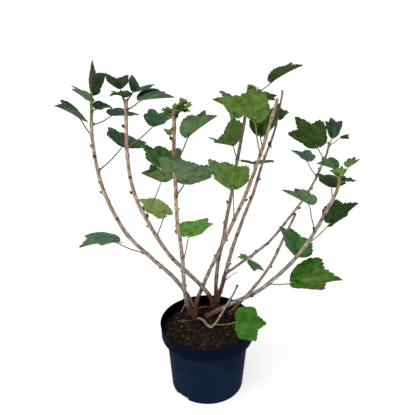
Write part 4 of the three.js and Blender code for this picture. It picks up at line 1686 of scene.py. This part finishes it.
# A sliver's four corners: sideways, and outwards from the bark
FLAKE_CORNERS = ((-1, 0), (1, 0), (1, FLAKE_THICKNESS), (-1, FLAKE_THICKNESS))

flakes = Heap()
dice = random.Random(5)
for name, cane in CANES.items():
    course = cane["course"]
    start = course.share_at(cane["start"]) + FLAKES_FROM
    for _ in range(FLAKES_PER_CANE):
        share = dice.uniform(start, FLAKES_TO)
        length = dice.uniform(*FLAKE_LENGTH)
        width = dice.uniform(*FLAKE_WIDTH)
        turn = dice.uniform(0, 360)
        lift = dice.uniform(*FLAKE_LIFT)
        way = dice.choice((1, -1))
        corners = []
        for i in range(FLAKE_STEPS + 1):
            part = i / FLAKE_STEPS
            here = np.clip(share + way * part * length / course.length, 0, 1)
            place, along, outward = frame_at(course, here, turn, FLAKE_STEP_SHARE)
            across = np.cross(along, outward)
            off = radius_at(cane["radii"], here) + FLAKE_OFF_BARK + lift * part * part
            narrow = width * (1 - FLAKE_TAPER * part) / 2
            for sideways, out in FLAKE_CORNERS:
                corners.append(place + outward * (off + out) + across * sideways * narrow)
        faces = skin(FLAKE_STEPS + 1, 4)
        faces.append([3, 2, 1, 0])
        faces.append([4 * FLAKE_STEPS + i for i in range(4)])
        ages = [dice.uniform(*FLAKE_AGE)] * len(corners)
        marks = {"straight": np.array(corners) * MM, "age": ages}
        flakes.put(corners, faces, BARKS.get(name, BARK_TAN), marks)
flake_piece = flakes.mesh("peeling_bark")
tell(flake_piece)

# %% [markdown]
# The pot is turned, as on a lathe: a disc is extruded up its wall ring by ring, over the rim and
# down the inside to the floor. A screw modifier would do the same, but this way one list holds
# each radius and height. Rounded corners get two or three rings each.

# %% Turn the pot
POT_SIDES = 128
POT_PROFILE = [
    (70.5, 0), (72.6, 0.4), (73.7, 1.5), (74.1, 3.2), (81.9, 109.5), (82.4, 112.6), (84.0, 115.0),
    (91.4, 119.4), (93.0, 121.0), (93.5, 123.4), (94.0, 146.4), (94.6, 147.0), (95.0, 147.9),
    (95.0, 149.0), (94.5, 149.8), (93.8, 150.0), (93.0, 149.8), (92.6, 149.0), (92.0, 124.2),
    (91.2, 121.6), (89.4, 119.9), (81.6, 116.2), (80.0, 114.2), (79.5, 111.6), (71.6, 2.5),
]


def turned_shape(name, profile, sides):
    """A shape of revolution: a disc extruded ring by ring through a profile."""
    bpy.ops.object.select_all(action="DESELECT")
    bpy.ops.mesh.primitive_circle_add(
        vertices=sides, radius=profile[0][0] * MM, fill_type="NGON", location=(0, 0, 0)
    )
    piece = bpy.context.object
    piece.name = name
    piece.data.name = name
    bpy.ops.object.mode_set(mode="EDIT")
    bpy.ops.mesh.select_all(action="SELECT")
    bpy.ops.transform.translate(value=(0, 0, profile[0][1] * MM))
    for (r0, z0), (r1, z1) in zip(profile, profile[1:]):
        bpy.ops.mesh.extrude_region_move(TRANSFORM_OT_translate={"value": (0, 0, (z1 - z0) * MM)})
        bpy.ops.transform.resize(value=(r1 / r0, r1 / r0, 1), center_override=(0, 0, z1 * MM))
    bpy.ops.mesh.select_all(action="SELECT")
    bpy.ops.mesh.normals_make_consistent(inside=False)
    bpy.ops.object.mode_set(mode="OBJECT")
    return piece


pot = turned_shape("pot_shell", POT_PROFILE, POT_SIDES)
tell(pot)

# %% [markdown]
# Box cutters take the two drain notches out of the foot, because a hole cut in the profile would
# run all the way round. The inside takes its own near-black finish, which is painted shade, and
# smooth-by-angle shading keeps the edges of rim and notches crisp while the wall stays round.

# %% Finish the pot
DRAIN_DEPTH, DRAIN_WIDTH, DRAIN_HEIGHT = 24, 30, 7
DRAIN_DIRECTIONS = (227, 47)
DRAIN_PROUD = 2
DRAIN_ROUNDING, ROUNDING_SEGMENTS = 4, 4
FOOT_RADIUS = 74
INSIDE_LEAN = -0.2
INSIDE_FROM = 10
SHARP_ANGLE = 35

for direction in DRAIN_DIRECTIONS:
    bpy.ops.object.select_all(action="DESELECT")
    bpy.ops.mesh.primitive_cube_add(size=1)
    cutter = bpy.context.object
    cutter.scale = Vector((DRAIN_DEPTH, DRAIN_WIDTH, 2 * DRAIN_HEIGHT)) * MM
    out = FOOT_RADIUS + DRAIN_PROUD - DRAIN_DEPTH / 2
    turned = math.radians(direction)
    cutter.location = Vector((out * math.cos(turned), out * math.sin(turned), 0)) * MM
    cutter.rotation_euler = (0, 0, turned)
    bpy.ops.object.transform_apply(location=True, rotation=True, scale=True)
    apply_modifier(
        cutter, "BEVEL", width=DRAIN_ROUNDING * MM, segments=ROUNDING_SEGMENTS, limit_method="ANGLE"
    )
    apply_modifier(pot, "BOOLEAN", operation="DIFFERENCE", object=cutter, solver="EXACT")
    bpy.data.objects.remove(cutter)
pot.data.materials.append(POT_OUTSIDE)
pot.data.materials.append(POT_INSIDE_PAINTED_SHADE)
# Faces inside the pot, above its floor, take the near-black painted-shade finish
for polygon in pot.data.polygons:
    centre, normal = polygon.center, polygon.normal
    wide = math.hypot(centre.x, centre.y)
    inward = normal.x * centre.x + normal.y * centre.y < INSIDE_LEAN * wide
    polygon.material_index = 1 if inward and centre.z > INSIDE_FROM * MM else 0
take_up(pot)
bpy.ops.object.shade_smooth_by_angle(angle=math.radians(SHARP_ANGLE))
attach(pot, "root")
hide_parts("pot")
tell(pot)

# %% [markdown]
# The compost fills the pot to just under the rim. Its body is turned like the pot, and its top is
# inset again and again, which gives a fine net of rings. A grid would leave ragged edges in a
# round pot.

# %% Turn the compost
SOIL_PROFILE = [
    (71.0, 2.9), (79.0, 111.6), (80.2, 115.4), (88.8, 119.9), (91.0, 123.4), (91.7, 127.0),
    (89.0, 128.6),
]
SOIL_SIDES = 200
SOIL_RINGS = 52
SOIL_RING_STEP = 1.7
ABOVE_FLOOR = 100

soil = turned_shape("potting_mix", SOIL_PROFILE, SOIL_SIDES)
take_up(soil)
bpy.ops.object.mode_set(mode="EDIT")
bpy.ops.mesh.select_mode(type="FACE")
bpy.ops.mesh.select_all(action="DESELECT")
bpy.ops.object.mode_set(mode="OBJECT")
for polygon in soil.data.polygons:
    polygon.select = len(polygon.vertices) == SOIL_SIDES and polygon.center.z > ABOVE_FLOOR * MM
bpy.ops.object.mode_set(mode="EDIT")
for _ in range(SOIL_RINGS):
    bpy.ops.mesh.inset(thickness=SOIL_RING_STEP * MM, depth=0)
bpy.ops.object.mode_set(mode="OBJECT")
tell(soil)

# %% [markdown]
# Noise of three sizes heaves the net into hollows, lumps and crumbs. The surface rises a little
# round the canes, and sinks towards the wall. One function gives its height at a place, because
# the crumbs have to lie on it later.

# %% Heave the compost
SOIL_LEVEL = 130
SOIL_BELOW_LEVEL = 0.6
SINK_FROM, SINK_OVER, SINK, SINK_CURVE = 62, 30, 2.6, 1.5
# Each noise: its height, the size of its features, and where it is read
HEAVES = ((1.5, 17, 4.2), (1.0, 6, 1.7), (0.8, 2.4, 9.1))
MOUNDS = ((-26, 33), (17, 56), (48, 52), (0, 43))
MOUND, MOUND_RADIUS = 1.8, 13
SURFACE_FROM = 128.4


def soil_height(x, y):
    """How high the compost's surface is at a place."""
    wide = math.hypot(x, y)
    height = SOIL_LEVEL - SOIL_BELOW_LEVEL
    height -= SINK * max(0, (wide - SINK_FROM) / SINK_OVER) ** SINK_CURVE
    for lift, size, layer in HEAVES:
        height += lift * noise.noise(Vector((x / size, y / size, layer)))
    for mound_x, mound_y in MOUNDS:
        near = math.hypot(x - mound_x, y - mound_y) / MOUND_RADIUS
        height += MOUND * math.exp(-near * near)
    return height


for vertex in soil.data.vertices:
    if vertex.co.z > SURFACE_FROM * MM:
        vertex.co.z = soil_height(vertex.co.x / MM, vertex.co.y / MM) * MM
soil.data.materials.append(PEAT)
soil.data.polygons.foreach_set("use_smooth", [True] * len(soil.data.polygons))
soil.data.update()
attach(soil, "root")
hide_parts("soil")
print("the middle of the compost is", round(soil_height(0, 0), 1), "mm high")

# %% [markdown]
# Loose crumbs and grit lie on the compost. A crumb is a rough twenty-sided lump of one to four
# millimetres. A particle system could strew them, but its copies aren't part of a mesh, so a
# seeded rule strews them evenly over the disc and they are joined into one mesh.

# %% Crumbs and grit
CRUMBS = 2600
SOIL_RADIUS = 89
CRUMB_SMALLEST, CRUMB_GROWS, CRUMB_CURVE = 0.45, 1.5, 3
CRUMB_STRETCH = ((0.7, 1.6), (0.6, 1.2), (0.5, 0.9))
CRUMB_LUMPY = (0.75, 1.25)
CRUMB_RAISED = 0.2
# Each finish, and the chance below which it is taken
CRUMB_LOOKS = ((0.025, GRIT), (0.1, FIBRE_RED), (0.42, CRUMB_BROWN), (1, CRUMB_DARK))

bpy.ops.object.select_all(action="DESELECT")
bpy.ops.mesh.primitive_ico_sphere_add(subdivisions=1, radius=1)
LUMP_POINTS, LUMP_FACES = read_out(bpy.context.object)


def strewn(dice, radius):
    """A place on a disc, strewn evenly."""
    wide = radius * math.sqrt(dice.random())
    turn = dice.uniform(0, 2 * math.pi)
    return wide * math.cos(turn), wide * math.sin(turn)


dice = random.Random(23)
crumbs = Heap()
for _ in range(CRUMBS):
    x, y = strewn(dice, SOIL_RADIUS)
    size = CRUMB_SMALLEST + CRUMB_GROWS * dice.random() ** CRUMB_CURVE
    stretch = np.array([dice.uniform(*limits) for limits in CRUMB_STRETCH])
    spin = dice.uniform(0, 2 * math.pi)
    cos, sin = math.cos(spin), math.sin(spin)
    turned = np.array([[cos, sin, 0], [-sin, cos, 0], [0, 0, 1]])
    bumps = np.array([dice.uniform(*CRUMB_LUMPY) for _ in LUMP_POINTS])[:, None]
    place = np.array([x, y, soil_height(x, y) + size * CRUMB_RAISED])
    chance = dice.random()
    look = next(look for limit, look in CRUMB_LOOKS if chance < limit)
    crumbs.put(place + (LUMP_POINTS * bumps * stretch * size) @ turned, LUMP_FACES, look)
crumb_piece = crumbs.mesh("compost_crumbs")
crumb_piece.data.polygons.foreach_set("use_smooth", [False] * len(crumb_piece.data.polygons))
tell(crumb_piece)

# %% [markdown]
# Fibres of coir and old roots lie between the crumbs. A fibre is a bent sliver through three
# places near the surface, and a few bigger ones that show in the picture are listed.

# %% Fibres
FIBRES = 420
FIBRE_SIDES = 4
FIBRE_STEPS = 6
FIBRE_TAPER = 0.6
FIBRE_LENGTH = (3, 11)
FIBRE_RADIUS = (0.18, 0.5)
FIBRE_BEND = (-0.3, 0.3)
FIBRE_HEIGHT = (0.2, 1.3)
FIBRE_FROM_WALL = 4
STRAW_CHANCE = 0.3
# A fallen green stalk and two pale old roots that show beside the canes
SEEN_SIDES = 6
SEEN_FIBRES = (
    ([(-57, 24, 133), (-44, 23, 134), (-30, 22, 133)], 0.8, STALK_GREEN),
    ([(-62, 24, 132.5), (-53, 20, 133), (-44, 20, 132)], 0.6, STALK_YELLOW),
    ([(-18, 69, 133), (-9, 71, 135), (1, 75, 134)], 1.3, FIBRE_STRAW),
)


def add_fibre(heap, points, radius, finish, sides=FIBRE_SIDES):
    """Adds a thin bent strand through a few points to a heap."""
    shares = np.linspace(0, 1, FIBRE_STEPS)
    radii = radius * (1 - FIBRE_TAPER * shares**2)
    add_strand(heap, Course(points).at(shares), radii, sides, finish)


fibres = Heap()
for _ in range(FIBRES):
    x, y = strewn(dice, SOIL_RADIUS - FIBRE_FROM_WALL)
    spin = dice.uniform(0, 2 * math.pi)
    length = dice.uniform(*FIBRE_LENGTH)
    points = []
    for part in (-0.5, 0.0, 0.5):
        spin += dice.uniform(*FIBRE_BEND)
        px = x + part * length * math.cos(spin)
        py = y + part * length * math.sin(spin)
        wide = math.hypot(px, py)
        if wide > SOIL_RADIUS:
            px, py = px * SOIL_RADIUS / wide, py * SOIL_RADIUS / wide
        points.append((px, py, soil_height(px, py) + dice.uniform(*FIBRE_HEIGHT)))
    look = FIBRE_STRAW if dice.random() < STRAW_CHANCE else FIBRE_RED
    add_fibre(fibres, points, dice.uniform(*FIBRE_RADIUS), look)
for points, radius, look in SEEN_FIBRES:
    add_fibre(fibres, points, radius, look, SEEN_SIDES)
fibre_piece = fibres.mesh("compost_fibres")
tell(fibre_piece)

# %% [markdown]
# The bush stands on a white floor in white light, as in a catalogue picture. A floor that is
# only lit would show a strong shadow, so this pale sheet also glows, which keeps the shadow as
# faint as in the photograph. It runs out of view, and it is not part of the model.

# %% Floor
FLOOR_RADIUS = 60.0
FLOOR_SIDES = 96
FLOOR_GLOW = 0.69

bpy.ops.object.select_all(action="DESELECT")
bpy.ops.mesh.primitive_circle_add(vertices=FLOOR_SIDES, radius=FLOOR_RADIUS, fill_type="NGON")
floor = bpy.context.object
floor.name = "floor"
floor_finish, _, floor_shader = finish("glowing_white_sheet", roughness=0.9, specular=0.1)
floor_shader.inputs["Base Color"].default_value = linear("#a6a6a6")
floor_shader.inputs["Emission Color"].default_value = linear("#ffffff")
floor_shader.inputs["Emission Strength"].default_value = FLOOR_GLOW
floor.data.materials.append(floor_finish)
print("the floor reaches", FLOOR_RADIUS, "m each way and glows at", FLOOR_GLOW)

# %% [markdown]
# A white sky lights every side a little, and one large soft lamp above and to the left gives the
# leaves their shape. An area lamp would fade with distance, so a sun with a wide spread is used,
# and the floor is as bright near the pot as at the back.

# %% Light
SKY_STRENGTH = 0.58
KEY_STRENGTH = 2.1
KEY_SPREAD = 50
KEY_FROM = (-0.5, -0.55, 1.25)

world = bpy.data.worlds.new("studio")
bpy.context.scene.world = world
world.use_nodes = True
sky = world.node_tree.nodes["Background"]
sky.inputs["Color"].default_value = linear("#ffffff")
sky.inputs["Strength"].default_value = SKY_STRENGTH

lamp_data = bpy.data.lights.new("key", "SUN")
lamp_data.energy = KEY_STRENGTH
lamp_data.angle = math.radians(KEY_SPREAD)
lamp = bpy.data.objects.new("key", lamp_data)
lamp.rotation_euler = Vector(KEY_FROM).to_track_quat("Z", "Y").to_euler()
bpy.context.scene.collection.objects.link(lamp)
bpy.context.scene.view_settings.view_transform = "Standard"
bpy.context.scene.view_settings.look = "None"
print("the lamp's strength is", KEY_STRENGTH, "and the sky's", SKY_STRENGTH)
